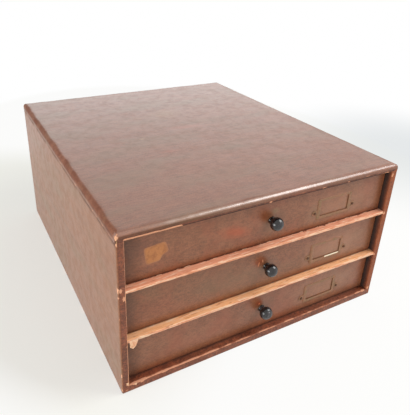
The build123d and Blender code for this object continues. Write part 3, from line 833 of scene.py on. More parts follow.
def coverBase():
    # the flat under the box and a quarter round up to the sides, carried along the outline
    bend, recess = skin["baseRound"], skin["sideRecess"]
    runX, runY = int(halfWidth / skin["step"]), int(halfDepth / skin["step"])
    flatX = np.linspace(-1, 1, runX + 2) * (halfWidth - bend)
    flatY = np.linspace(-1, 1, runY + 2) * (halfDepth - bend)
    gx, gy = np.meshgrid(flatX, flatY)
    rows = []
    for turn in np.linspace(pi / 2, 0, 7):
        inset = bend - (bend - recess) * cos(turn)
        outline, ways = planOutline(halfWidth, halfDepth, inset, skin["cornerRadius"], runX, runY,
                                    skin["cornerSteps"])
        rows.append(np.concatenate([outline, np.full((len(outline), 1), bend - bend * sin(turn))], 1))
    ring = np.stack(rows)

    def worn(points):
        out = np.maximum(abs(points[:, 0]) - halfWidth, abs(points[:, 1]) - halfDepth)
        rim = between(out, -1.2, -0.3)
        return rim * (0.42 + 0.3 * ragged(points[:, 0] + points[:, 1], 37, 30 * mm, 4))

    flat = np.stack([gx, gy, 0 * gx], -1)
    piece = makePiece("baseCloth", [flat, np.concatenate([ring, ring[:, :1]], 1)],
                      cloths["backLeathercloth"], "case", ["base_covering"],
                      skin["thickness"],
                      {"worn": worn}, lookFrom=(0, 0, -1), sharpAngle=50)


# the last five values place painted shade on the drawer's face, low down and at its left end
frontSkin = {
    "round": 1.0 * mm, "corner": 0.9 * mm, "thickness": 0.42 * mm, "step": 2.5 * mm, "swell": 0.03 * mm,
    "swellLength": 26 * mm, "rubbed": 0.55, "rubbedReach": (0.4, 4.0), "rubbedWave": 1.2 * mm,
    "rubbedWaveLength": 23 * mm, "worn": 0.24, "wornWave": 0.22, "wornReach": (0.15, 0.9),
    "wornLength": 34 * mm, "footShade": 0.4, "footShadeReach": (0.4, 5), "leftEndShade": 0.42,
    "leftEndShadeReach": (1, 20), "shadeMost": 0.65,
}


def coverFront(level, seed):
    # the face of the drawer as a grid, a quarter round along its edges, and the cloth turned back over them
    low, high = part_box(level + "_front_covering")
    bend = frontSkin["round"]
    halfX, halfZ, middleZ = (high.x - low.x) / 2, (high.z - low.z) / 2, (high.z + low.z) / 2
    runX, runZ = int(2 * halfX / frontSkin["step"]), int(2 * halfZ / frontSkin["step"])
    flatX = np.linspace(-1, 1, runX + 2) * (halfX - bend)
    flatZ = np.linspace(-1, 1, runZ + 2) * (halfZ - bend)
    gx, gz = np.meshgrid(flatX, flatZ)
    face = np.stack([gx, np.full_like(gx, low.y), middleZ + gz], -1)
    turns = np.linspace(pi / 2, 0, 6)
    steps = [(bend - bend * cos(t), low.y + bend - bend * sin(t)) for t in turns] + [(0.0, high.y)]
    rows = []
    for inset, depth in steps:
        outline, ways = planOutline(halfX, halfZ, inset, frontSkin["corner"], runX, runZ, 4)
        rows.append(np.stack([outline[:, 0], np.full(len(outline), depth), middleZ + outline[:, 1]], -1))
    ring = np.stack(rows)

    def inward(points):
        return np.minimum(halfX - abs(points[:, 0]), halfZ - abs(points[:, 2] - middleZ))

    def uneven(points):
        bumps = swell(points[:, 0], points[:, 2], seed, frontSkin["swellLength"]) - 1
        return between(inward(points), 0.5, 4) * frontSkin["swell"] * bumps

    def rubbed(points):
        wave = ripple(points[:, 0] + points[:, 2], seed + 3, frontSkin["rubbedWaveLength"])
        edge = inward(points) + frontSkin["rubbedWave"] * wave
        return frontSkin["rubbed"] * (1 - between(edge, *frontSkin["rubbedReach"]))

    def worn(points):
        edge = 1 - between(inward(points), *frontSkin["wornReach"])
        wave = ragged(points[:, 0] + 2 * points[:, 2], seed + 5, frontSkin["wornLength"], 5)
        return edge * (frontSkin["worn"] + frontSkin["wornWave"] * wave)

    def paintedShade(points):
        # painted shade, darker low down and at the left end beside the post
        foot = frontSkin["footShade"] * (1 - between(points[:, 2] - low.z, *frontSkin["footShadeReach"]))
        leftEnd = frontSkin["leftEndShade"] * (1 - between(points[:, 0] - low.x, *frontSkin["leftEndShadeReach"]))
        return np.clip(foot + leftEnd, 0, frontSkin["shadeMost"])

    piece = makePiece(
        level + "FrontCloth", [face, np.concatenate([ring, ring[:, :1]], 1)], cloths[level + "DrawerCloth"],
        level + "_drawer", [level + "_front_covering"], frontSkin["thickness"],
        {"worn": worn, "rubbed": rubbed, "paintedShade": paintedShade}, shiftAlong=uneven, lookFrom=(0, -10, middleZ),
        sharpAngle=50)


coverTop()
coverBase()
for number, level in enumerate(levels):
    coverFront(level, 141 + 10 * number)
sideX = halfWidth - skin["sideRecess"]
sideY = halfDepth - skin["sideRecess"]
tuckY = halfDepth - skin["backOverlap"] - skin["thickness"]
leftPath = np.concatenate([cornerArc(-1, -1, 270, 180)[:-1],
                           straightRun((-sideX, -halfDepth + skin["cornerRadius"]), (-sideX, tuckY))])
backPath = np.concatenate([
    cornerArc(1, 1, 0, 90)[:-1],
    straightRun((halfWidth - skin["cornerRadius"], sideY), (-halfWidth + skin["cornerRadius"], sideY))[:-1],
    cornerArc(-1, 1, 90, 180)])
coverSide("leftCloth", "left_covering", cloths["sideLeathercloth"], leftPath, edgeWorn(21, 0.22),
          (-1, 0, 0.1), 41)
coverSide("rightCloth", "right_covering", cloths["sideLeathercloth"], leftPath * (-1, 1), edgeWorn(22, 0.3),
          (1, 0, 0.1), 43)
coverSide("backCloth", "back_covering", cloths["backLeathercloth"], backPath, backWorn, (0, 1, 0.1), 47)
print("box covered")


rim = {
    "stand": 0.1 * mm, "round": 0.9 * mm, "roundSteps": 6, "flatSteps": 9, "sleeveSteps": 5, "step": 0.8 * mm,
    "sink": 0.28 * mm, "thickness": 0.35 * mm,
}

# each strip's board and how rubbed it is; its worn stretches along the inner edge, a pale line that is wear
# and also a painted highlight of the rounded edge: from and to in mm, strength, width of the bare line in mm;
# then single places: middle, reach and strength
rimWear = {
    "top": {
        "board": "top_board", "rubbed": 0.0,
        "stretches": [(-167, -112, 1.05, 2.4), (-112, -20, 0.2, 0.6), (-20, 150, 0.25, 0.6),
                      (150, 167, 0.6, 1.0)],
        "places": [((-11, -205.5, 184.4), (2.6, 3, 1.5), 1.0), ((96, -205.5, 184.5), (3, 3, 0.9), 0.7),
                   ((60, -205.5, 185), (5, 3, 0.7), 0.65), ((156, -205.5, 183.6), (6, 3, 1.2), 0.85),
                   ((30, -205.5, 185.6), (9, 3, 0.5), 0.55), ((125, -205.5, 185.4), (8, 3, 0.6), 0.6)],
    },
    "bottom": {
        "board": "bottom_board", "rubbed": 0.1,
        "stretches": [(-167, -148, 0.95, 1.6), (-148, -60, 0.85, 1.0), (-60, 60, 0.66, 0.8),
                      (60, 167, 0.6, 0.8)],
        "places": [((-161, -205, 9), (4, 3, 3), 1.0), ((-153, -205, 8), (4, 3, 1.8), 0.9),
                   ((162, -205, 9.5), (5, 3, 1.6), 1.0), ((-128, -205.5, 8.6), (5, 3, 1.2), 0.8),
                   ((-170, -205.5, 4), (4, 3, 1.5), 0.6)],
    },
    "left": {
        "board": "left_side", "rubbed": 0.0,
        "stretches": [(10, 64, 0.9, 1.3), (64, 116, 0.8, 1.0), (116, 128, 0.9, 1.4), (128, 183, 0.85, 0.9)],
        "places": [((-172.5, -205.5, 131), (2.6, 3, 4), 0.95), ((-169, -205.5, 121), (2.6, 3, 4.5), 0.95),
                   ((-167.6, -205.5, 62), (2, 3, 3.5), 0.9), ((-169, -205.5, 12), (3, 3, 4), 0.85)],
    },
    "right": {
        # the right strip's front is tinted lighter, more orange and rougher than the others
        "board": "right_side", "rubbed": 0.75,
        "stretches": [(10, 60, 0.35, 0.8), (60, 130, 0.4, 0.8), (130, 183, 0.45, 0.9)],
        "places": [((170, -205.5, 12), (3, 3, 5), 0.7), ((168.5, -205.5, 126.5), (2, 3, 3.4), 1.0),
                   ((168, -205.5, 66), (1.6, 3, 2.6), 0.9), ((168, -205, 178), (1.6, 3, 4.5), 0.95),
                   ((168, -203, 118), (2, 4, 3), 0.6)],
    },
}


def bindEdge(side, startCorner, endCorner, seed):
    # ruled strip between the outer and the inner line of one side, rounded over the inner edge and turned in
    innerStart, outerStart = (np.array(p) for p in startCorner)
    innerEnd, outerEnd = (np.array(p) for p in endCorner)
    front = -halfDepth - rim["stand"]
    count = int(np.linalg.norm(innerEnd - innerStart) / rim["step"])
    share = np.linspace(0, 1, count)[:, None]
    inner = innerStart + (innerEnd - innerStart) * share
    outer = outerStart + (outerEnd - outerStart) * share
    across = outer - inner
    width = np.linalg.norm(across, axis=1, keepdims=True)
    bend = rim["round"]
    rows = []
    for f in np.linspace(1, 0, rim["flatSteps"], endpoint=False):
        spot = inner + across / width * (bend + (width - bend) * f)
        rows.append(np.concatenate([spot[:, :1], np.full((count, 1), front), spot[:, 1:]], 1))
    for turn in np.linspace(0, pi / 2, rim["roundSteps"]):
        spot = inner + across / width * bend * (1 - sin(turn))
        depth = np.full((count, 1), front + bend * (1 - cos(turn)))
        rows.append(np.concatenate([spot[:, :1], depth, spot[:, 1:]], 1))
    for depth in np.linspace(front + bend, sleeveBack, rim["sleeveSteps"] + 1)[1:]:
        rows.append(np.concatenate([inner[:, :1], np.full((count, 1), depth), inner[:, 1:]], 1))
    wear = rimWear[side]
    upright = side in ("left", "right")

    def worn(points):
        # the stretches paint a pale line along the inner edge, both wear and a painted highlight of the
        # rounded edge
        along = points[:, 2] if upright else points[:, 0]
        level = openCeiling if side == "top" else openFloor
        edge = abs(abs(points[:, 0]) - openHalf) if upright else abs(points[:, 2] - level)
        fromEdge = edge + np.maximum(points[:, 1] - front - 1.0 * mm, 0)
        total = np.zeros(len(points))
        for low, high, amount, width in wear["stretches"]:
            inside = between(along, low - 3, low + 1) * (1 - between(along, high - 1, high + 3))
            band = 1 - between(fromEdge, 0.55 * width, 1.25 * width)
            total = np.maximum(total, amount * inside * band)
        broken = total * (0.92 + 0.16 * ragged(along, seed, 30 * mm))
        return np.maximum(wornPlaces(points, wear["places"]), broken)

    def dark(points):
        # painted shade: the turned-in cloth is painted darker towards the drawers
        inward = smoothStep(points[:, 1], front + 2.6 * mm, front + 4.6 * mm)
        # on the bottom ledge, a painted shadow at the foot of the drawer
        if side == "bottom":
            inward = 0.75 * smoothStep(points[:, 1], faceY - 1.6 * mm, faceY)
        if side == "top":
            # painted shade over the whole strip, and a painted shadow line along its lower edge where it
            # isn't torn
            line = 1 - between(abs(points[:, 2] - openCeiling - 0.5 * mm), 0.5, 1.2)
            whole = between(points[:, 0], -114, -108)
            inward = np.maximum(inward, 0.42 - 0.14 * whole + 0.6 * line * whole)
        return 0.93 * inward

    def rubbed(points):
        return wear["rubbed"] * (points[:, 1] < front + 1.0 * mm)

    def sunk(points):
        along = points[:, 2] if upright else points[:, 0]
        lumps = 0.03 * mm * ripple(along, seed + 3, 7 * mm)
        return lumps - rim["sink"] * smoothStep(worn(points), 0.45, 0.7)

    middle = (0, -10, (openFloor + openCeiling) / 2)
    piece = makePiece(side + "Binding", [np.stack(rows)], cloths["bindingCloth"], "case",
                      [side + "_binding"], rim["thickness"],
                      {"worn": worn, "paintedShade": dark, "rubbed": rubbed}, shiftAlong=sunk, lookFrom=middle,
                      sharpAngle=60)


# the corners of the opening, each with its inner and its outer point
lowerLeft = (-openHalf, openFloor), (-rimHalf, rimBottom)
lowerRight = (openHalf, openFloor), (rimHalf, rimBottom)
upperLeft = (-openHalf, openCeiling), (-rimHalf, rimTop)
upperRight = (openHalf, openCeiling), (rimHalf, rimTop)
bindEdge("left", lowerLeft, upperLeft, 51)
bindEdge("right", lowerRight, upperRight, 57)
bindEdge("top", upperLeft, upperRight, 61)
bindEdge("bottom", lowerLeft, lowerRight, 67)
print("opening bound")


shelf = {
    "round": 0.8 * mm, "fray": 0.2 * mm, "frayLength": 12 * mm, "frayReach": 3.5 * mm, "nick": 0.3 * mm,
    "step": 0.8 * mm, "frontZone": 11 * mm,
}


def makeShelf(level, material, seed):
    # the section of the board, a closed loop in Y and Z, carried along X; its front corner is frayed by noise
    low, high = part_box(level + "_divider")
    bend = shelf["round"]
    topRun = np.concatenate([np.linspace(high.y, low.y + shelf["frontZone"], 4, endpoint=False),
                             np.linspace(low.y + shelf["frontZone"], low.y + bend, 9)])
    turns = np.linspace(0, pi / 2, 5)
    loop = [(y, high.z) for y in topRun]
    loop += [(low.y + bend - bend * sin(t), high.z - bend + bend * cos(t)) for t in turns[1:]]
    loop += [(low.y, z) for z in np.linspace(high.z - bend, low.z + bend, 5)[1:-1]]
    loop += [(low.y + bend - bend * cos(t), low.z + bend - bend * sin(t)) for t in turns]
    loop += [(y, low.z) for y in topRun[::-1][1:]]
    section = np.array(loop)
    x = np.arange(low.x, high.x + shelf["step"] / 2, shelf["step"])
    x = low.x + (high.x - low.x) * (x - x[0]) / (x[-1] - x[0])
    frontness = 1 - smoothStep(section[:, 0], low.y, low.y + shelf["frayReach"])
    middle = (low.z + high.z) / 2
    upperHalf = np.sign(section[:, 1] - middle)
    fray = shelf["fray"] * (0.5 + 0.5 * ragged(x, seed, shelf["frayLength"]))
    nick = shelf["nick"] * np.clip(ragged(x, seed + 5, 13 * mm) - 0.5, 0, 1)
    y = section[None, :, 0] + np.clip(fray, 0, None)[:, None] * frontness[None]
    z = section[None, :, 1] - nick[:, None] * frontness[None] * upperHalf[None]
    grid = np.stack([np.broadcast_to(x[:, None], y.shape), y, z], -1)

    def onTop(points):
        return smoothStep(points[:, 2], high.z - 0.7 * mm, high.z - 0.1 * mm)

    def paintedShade(points):
        # painted shadow: brown along the drawer's foot and along the lower edge in front
        below = 1 - smoothStep(points[:, 2], low.z + 0.15 * mm, low.z + 0.9 * mm)
        return np.maximum(0.8 * between(points[:, 1] - faceY, -1.3, 0.6), 0.85 * below)

    makePiece(level + "Shelf", [grid], material, "case", [level + "_divider"],
              attributes={"onTop": onTop, "paintedShade": paintedShade}, wrap=True, caps=True, sharpAngle=70)


makeShelf("lower", shelfWoods["lower"], 71)
makeShelf("upper", shelfWoods["upper"], 79)

remnant = {"rear": 2.0 * mm, "low": 0.03 * mm, "thickness": 0.16 * mm, "reach": 0.7 * mm, "step": 0.5 * mm}


def makeRemnant(level, seed):
    # what is left of the cloth on the divider's top, torn off along a ragged line ahead of the drawer
    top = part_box(level + "_divider")[1].z
    x = np.arange(-openHalf + 1.0 * mm, openHalf - 0.9 * mm, remnant["step"])
    chips = np.clip(ragged(x, seed + 4, 38 * mm, 5) - 0.9, 0, 1)
    torn = remnant["reach"] * (0.55 + 0.3 * ragged(x, seed, 30 * mm, 4)) + 1.6 * mm * chips
    frontEdge = faceY - np.clip(torn, -0.6 * mm, 2.6 * mm)
    rearEdge = np.full_like(x, faceY + remnant["rear"])
    loops = []
    for share, height in ((0, 0.4), (0.02, 1.0), (0.3, 1.0), (0.7, 0.9), (1, 0.9), (1, 0), (0.5, 0), (0, 0)):
        y = frontEdge * (1 - share) + rearEdge * share
        z = np.full_like(x, top + remnant["low"] + remnant["thickness"] * height)
        loops.append(np.stack([x, y, z], -1))
    grid = np.stack(loops, 1)

    def worn(points):
        edge = np.interp(points[:, 0], x, frontEdge)
        fringe = 1 - between(points[:, 1] - edge, 0.1, 0.7)
        return fringe * (0.3 + 0.5 * np.clip(ragged(points[:, 0], seed + 2, 22 * mm), 0, 1.4))

    makePiece(level + "ShelfRemnant", [grid], smalls["tornCloth"], "case",
              attributes={"worn": worn}, wrap=True, caps=True, sharpAngle=50)


makeRemnant("upper", 83)
print("dividers made")

knob = {
    "around": 64, "footRadius": 4.3 * mm, "footLength": 1.0 * mm, "neckRadius": 3.5 * mm, "neckAt": 4.4 * mm,
    "headAt": 9.3 * mm, "headRadius": 7.5 * mm, "length": 16.2 * mm, "ringRadius": 4.9 * mm,
    "ringDepth": 0.5 * mm, "ringWidth": 0.5 * mm, "dimple": 0.7 * mm, "dimpleWidth": 2.2 * mm,
}


def turnKnob(level, material, ringed):
    # lathe: a radius for each distance from the face, turned about the knob's own axis; the head's back is a
    # quarter of an ellipse and its front half a dome
    low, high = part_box(level + "_knob")
    middleX, middleZ = (low.x + high.x) / 2, (low.z + high.z) / 2
    footOut = np.array([0, 0, 0.2, 0.8, 1.0]) * knob["footLength"]
    footRadius = np.array([0, 0.97, 1.0, 1.0, 0.95]) * knob["footRadius"]
    t = np.linspace(0, 1, 9)[1:]
    neckOut = knob["footLength"] + (knob["neckAt"] - knob["footLength"]) * t
    neckRadius = footRadius[-1] + (knob["neckRadius"] - footRadius[-1]) * np.sin(t * pi / 2)
    t = np.linspace(0, pi / 2, 15)[1:]
    backOut = knob["headAt"] - (knob["headAt"] - knob["neckAt"]) * np.cos(t) ** 0.9
    backRadius = knob["neckRadius"] + (knob["headRadius"] - knob["neckRadius"]) * np.sin(t)
    t = np.linspace(0, pi / 2, 44)[1:]
    domeRadius = knob["headRadius"] * np.cos(t)
    domeOut = knob["headAt"] + (knob["length"] - knob["headAt"]) * np.sin(t)
    if ringed:
        offRing = (domeRadius - knob["ringRadius"]) / knob["ringWidth"]
        domeOut -= np.exp(-offRing**2) * knob["ringDepth"]
        domeOut -= np.exp(-(domeRadius / knob["dimpleWidth"]) ** 2) * knob["dimple"]
    out = np.concatenate([footOut, neckOut, backOut, domeOut])[:, None]
    radius = np.clip(np.concatenate([footRadius, neckRadius, backRadius, domeRadius]), 0, None)[:, None]
    turns = np.linspace(0, 2 * pi, knob["around"], endpoint=False)[None]
    grid = np.stack([middleX + radius * np.cos(turns), high.y - out + 0 * turns,
                     middleZ + radius * np.sin(turns)], -1)
    makePiece(level + "Knob", [grid], material, level + "_drawer", [level + "_knob"], wrap=True,
              sharpAngle=55)


turnKnob("upper", smalls["knobBlack"], False)
turnKnob("middle", smalls["knobBlack"], False)
turnKnob("lower", smalls["knobBlackDull"], True)
print("knobs turned")


holder = {
    "sideBar": 4.5 * mm, "bottomBar": 4.5 * mm, "topBar": 3.0 * mm, "depth": 1.05 * mm, "sheet": 0.45 * mm,
    "topDrop": 0.55 * mm, "innerCorner": 0.7 * mm, "outerCorner": 1.8 * mm, "earRadius": 3.5 * mm,
    "earNeck": 3.25 * mm, "earOverlap": 0.8 * mm, "earSteps": 14,
    "earSection": ((-1, 0), (-1, 0.6), (-0.9, 1.0), (-0.3, 1.05), (0.3, 1.05), (0.9, 1.0), (1, 0.6), (1, 0)),
}

# the middle holder is bent: its left end stands off the face, and its lower lip is turned out, with a painted
# highlight
bent = {"lift": 0.9 * mm, "liftReach": 16 * mm, "lipWidth": 0.9 * mm, "lipFrom": (14, 24), "lipUp": 0.35 * mm,
        "lipOut": 0.25 * mm, "highlightFrom": (17, 20), "highlightTo": (-2, 1), "highlightWidth": (0.5, 1.1)}


def roundedLoop(x0, x1, z0, z1, radius, perSide=18, perCorner=6):
    # rounded rectangle in the face, anticlockwise from its lower left corner, with the same cuts at any size
    spots = []
    for cx, cz, start in ((x0 + radius, z0 + radius, 180), (x1 - radius, z0 + radius, 270),
                          (x1 - radius, z1 - radius, 0), (x0 + radius, z1 - radius, 90)):
        turns = np.radians(start + np.linspace(0, 90, perCorner + 1))
        spots.append(np.stack([cx + radius * np.cos(turns), cz + radius * np.sin(turns)], -1))
    filled = []
    for k, corner in enumerate(spots):
        nextStart = spots[(k + 1) % 4][0]
        filled.append(corner)
        shares = np.linspace(0, 1, perSide + 2)[1:-1, None]
        filled.append(corner[-1] + (nextStart - corner[-1]) * shares)
    return np.concatenate(filled)


def makeHolder(level, isBent):
    low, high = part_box(level + "_card_holder")
    pinLow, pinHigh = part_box(level + "_card_pins")
    foot = high.y
    frameLeft = low.x + holder["earRadius"] + holder["earNeck"]
    frameRight = high.x - holder["earRadius"] - holder["earNeck"]
    windowBox = (frameLeft + holder["sideBar"], frameRight - holder["sideBar"], low.z + holder["bottomBar"],
                 high.z - holder["topBar"])
    inner = roundedLoop(*windowBox, holder["innerCorner"])
    outer = roundedLoop(frameLeft, frameRight, low.z, high.z, holder["outerCorner"])
    depth, sheet = holder["depth"], holder["sheet"]
    onTopBar = smoothStep(inner[:, 1], windowBox[3] - 0.6 * mm, windowBox[3] - 0.05 * mm)
    full = depth - holder["topDrop"] * onTopBar
    lift = (full - sheet) * onTopBar
    # share of the way from the window's edge to the outer edge, and height off the drawer's face: the outer
    # edge leans in from the face, the middle is flat and the window's edge is the bare edge of the sheet
    section = [(1.0, lift), (0.96, lift + (full - lift) * 0.4), (0.86, lift + (full - lift) * 0.8),
               (0.7, full),
               (0.5, full * 1.03), (0.15, full), (0.03, full * 0.95), (0.0, full * 0.85), (0.0, full - sheet),
               (0.1, full - sheet), (0.8, full - sheet), (0.86, lift)]
    rows = []
    for share, height in section:
        spot = inner * (1 - share) + outer * share
        rows.append(np.stack([spot[:, 0], foot - height, spot[:, 1]], -1))
    ring = np.stack(rows + rows[:1])
    middleZ = (windowBox[2] + windowBox[3]) / 2
    if isBent:
        leftward = 1 - smoothStep(ring[..., 0], frameLeft, frameLeft + bent["liftReach"])
        downward = 1 - smoothStep(ring[..., 2], low.z, middleZ + 6 * mm)
        standing = (foot - ring[..., 1]) / depth
        ring[..., 1] -= bent["lift"] * leftward * downward * np.clip(standing, 0, 1)
        lip = np.exp(-((ring[..., 2] - windowBox[2]) / bent["lipWidth"]) ** 2)
        lip = lip * between(ring[..., 0] - windowBox[0], *bent["lipFrom"])
        ring[..., 2] += bent["lipUp"] * lip
        ring[..., 1] -= bent["lipOut"] * lip
    grids = [ring.transpose(1, 0, 2)]
    grids[0] = np.concatenate([grids[0], grids[0][:1]])
    earRadius = holder["earRadius"]
    pinZ = (pinLow.z + pinHigh.z) / 2
    for side, edge, pinX in ((-1, frameLeft, low.x + earRadius), (1, frameRight, high.x - earRadius)):
        reach = np.linspace(0, 1, holder["earSteps"])
        inside = edge - side * holder["earOverlap"]
        x = inside + (pinX + side * earRadius - inside) * np.sin(reach * pi / 2)
        beyond = np.clip((x - pinX) * side, 0, earRadius) / earRadius
        halfEar = earRadius * np.sqrt(np.clip(1 - beyond**2, 0, 1))
        loops = []
        for v, h in holder["earSection"]:
            loops.append(np.stack([x, np.full_like(x, foot - sheet * h), pinZ + v * halfEar], -1))
        loops.append(loops[0])
        grids.append(np.stack(loops, 1))

    def worn(points):
        if not isBent:
            return 0.15 * (points[:, 2] < windowBox[2])
        # on the bent holder the pale worn colour along the lower lip is a painted highlight
        along = between(points[:, 0] - windowBox[0], *bent["highlightFrom"])
        along = along * (1 - between(points[:, 0] - windowBox[1], *bent["highlightTo"]))
        return along * (1 - between(abs(points[:, 2] - windowBox[2]), *bent["highlightWidth"]))

    makePiece(level + "CardHolder", grids, smalls["dullBronze"], level + "_drawer",
              [level + "_card_holder"], attributes={"worn": worn}, sharpAngle=45)


for level in levels:
    makeHolder(level, level == "middle")
print("card holders made")


def smoothLoop(corners, count, softness, seed, roughness):
    # closed outline through the corners, cut evenly, rounded by a running mean and roughened by noise
    corners = np.array(corners, float)
    following = np.roll(corners, -1, 0)
    lengths = np.linalg.norm(following - corners, axis=1)
    ends = np.cumsum(lengths)
    along = np.linspace(0, ends[-1], count, endpoint=False)
    leg = np.searchsorted(ends, along, side="right")
    share = (along - (ends[leg] - lengths[leg])) / lengths[leg]
    line = corners[leg] + (following - corners)[leg] * share[:, None]
    window = np.hanning(softness + 2)[1:-1]
    window = window / window.sum()
    padded = np.concatenate([line[-softness:], line, line[:softness]])
    line = np.stack([np.convolve(padded[:, k], window, "same")[softness:-softness] for k in (0, 1)], -1)
    middle = line.mean(0)
    turn = np.arctan2(line[:, 1] - middle[1], line[:, 0] - middle[0])
    rough = sum(np.sin(turn * k + seed * k) / k**0.7 for k in (5, 9, 14, 23, 37))
    return middle + (line - middle) * (1 + roughness * rough)[:, None], middle


gluePatch = {
    "corners": [(-146.0, 163.4), (-123.4, 165.6), (-119.6, 153.6), (-127.0, 151.0), (-128.5, 145.4),
                (-143.6, 144.2)],
    "thickness": 0.12 * mm, "count": 180, "softness": 23, "roughness": 0.009, "lump": 0.25,
    "lumpLength": 6 * mm,
}


def makeGluePatch():
    outline, middle = smoothLoop(gluePatch["corners"], gluePatch["count"], gluePatch["softness"], 3,
                                 gluePatch["roughness"])
    outline, middle = outline * mm, middle * mm
    shares = (0, 0.35, 0.6, 0.78, 0.88, 0.95, 1.0, 1.0, 0.5, 0)
    heights = (0.7, 0.8, 0.9, 1.0, 0.9, 0.6, 0.3, 0.0, 0.0, 0.0)
    rows = []
    for share, height in zip(shares, heights):
        spot = middle + (outline - middle) * share
        lump = 1 + gluePatch["lump"] * swell(spot[:, 0], spot[:, 1], 91, gluePatch["lumpLength"])
        rows.append(np.stack([spot[:, 0], faceY - gluePatch["thickness"] * height * lump, spot[:, 1]], -1))
    reach = np.linalg.norm(outline - middle, axis=1)
    turn = np.arctan2(outline[:, 1] - middle[1], outline[:, 0] - middle[0])
    order = np.argsort(turn)

    def thin(points):
        # how close each point lies to the patch's rim, where the film thins out
        local = points[:, [0, 2]] - middle
        limit = np.interp(np.arctan2(local[:, 1], local[:, 0]), turn[order], reach[order], period=2 * pi)
        return smoothStep(np.linalg.norm(local, axis=1) / limit, 0.8, 1.0)

    makePiece("gluePatch", [np.stack(rows)], smalls["driedGlue"], "upper_drawer", wrap=True,
              attributes={"rubbed": thin}, sharpAngle=60)


makeGluePatch()


def makeFlap(name, root, hang, out, width, tipWidth, lean, curl):
    # a torn tongue: rows go from its root outwards and down along a quarter turn, columns across its width,
    # which narrows smoothly to a rounded tip
    u = np.linspace(0, 1, 22)[:, None]
    v = np.linspace(-1, 1, 13)[None]
    half = (width + (tipWidth - width) * smoothStep(u, 0.1, 0.75)) / 2
    half = half * np.sqrt(1.02 - smoothStep(u, 0.7, 1.0))
    middle = lean * u**1.4
    x = root[0] + middle + half * v
    y = root[1] - out * np.sin(u * pi * 0.62) + curl * v**2 * u + 0 * x
    z = root[2] - hang * u**1.3 - 0.6 * mm * np.sin(v * 2.2) * u + 0 * x
    makePiece(name, [np.stack([x, y, z], -1)], smalls["tornBacking"], "case",
              thickness=0.35 * mm, sharpAngle=60, lookFrom=(root[0], root[1] - 1, root[2] + 1))


flaps = {
    # root x, y, height over the place in mm, hang, out, width at the root, at the tip, lean, curl
    "lowerShelfFlap": (-161.0, -205.3, -0.8, 6.5, 2.2, 9.0, 6.0, -3.2, -1.8),
    "lowerShelfShred": (-164.6, -205.0, -1.8, 2.4, 0.5, 3.0, 1.6, 0.4, -0.3),
    "bayCornerShred": (-169.2, -205.9, 4.5, 3.4, 0.5, 3.0, 1.8, 0.3, -0.3),
    "bayCornerScrap": (-161.5, -205.75, -0.2, 1.8, 0.5, 5.0, 2.8, 0.8, -0.2),
}
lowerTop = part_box("lower_divider")[1].z
for name, (x, y, over, *sizes) in flaps.items():
    ground = lowerTop if name.startswith("lower") else openFloor
    makeFlap(name, (x * mm, y * mm, ground + over * mm), *(size * mm for size in sizes))
print("worn details made")


finishes = {
    "top_board": "caseAcross", "bottom_board": "caseAcross", "back_panel": "caseAcross",
    "left_side": "caseAlong", "right_side": "caseAlong", "case_nails": "plainSteel",
}
drawerFinishes = {
    "front": "drawerAcross", "back_wall": "drawerAcross", "panel": "drawerAcross", "left_wall": "drawerAlong",
    "right_wall": "drawerAlong", "knob_screw": "plainSteel", "nails": "plainSteel", "card_pins": "agedPin",
}
for level in levels:
    finishes |= {level + "_" + part: finish for part, finish in drawerFinishes.items()}
for label, finish in finishes.items():
    for slot in cadNodes[label].material_slots:
        slot.material = (woods | smalls)[finish]
print("finishes given to", len(finishes), "nodes")


floor = {
    "rings": (0.0, 0.3, 0.7, 1.3, 2.5, 6.0), "around": 48, "colour": (246, 246, 230),
    # shade is a painted shadow on the floor to the right of the box
    "shade": (230, 233, 234),
    "lift": 0.5, "middle": (0.1, 0.25, 0), "reach": (0.4, 0.52, 1), "plainFrom": 0.9, "plainTo": 1.4,
    "leftMiddle": (-0.24, 0.12, 0), "leftReach": (0.3, 0.4, 1), "leftFrom": 0.7, "leftTo": 1.1,
    "frontLift": 0.9, "shadeAt": (0.66, 0.12, 0), "shadeReach": (0.4, 0.42, 1),
}


def seenDirectly(tree):
    # 1 for rays from the camera, off a gloss or through glass
    rays = addNode(tree, "LightPath").outputs
    seen = calc(tree, "MAXIMUM", rays["Is Camera Ray"], rays["Is Glossy Ray"])
    return calc(tree, "MAXIMUM", seen, rays["Is Transmission Ray"])


def endWith(tree, kind, share, first, second):
    mixed = addNode(tree, "MixShader", {0: share, 1: first.outputs[0], 2: second.outputs[0]})
    tree.links.new(mixed.outputs[0], addNode(tree, kind).inputs["Surface"])


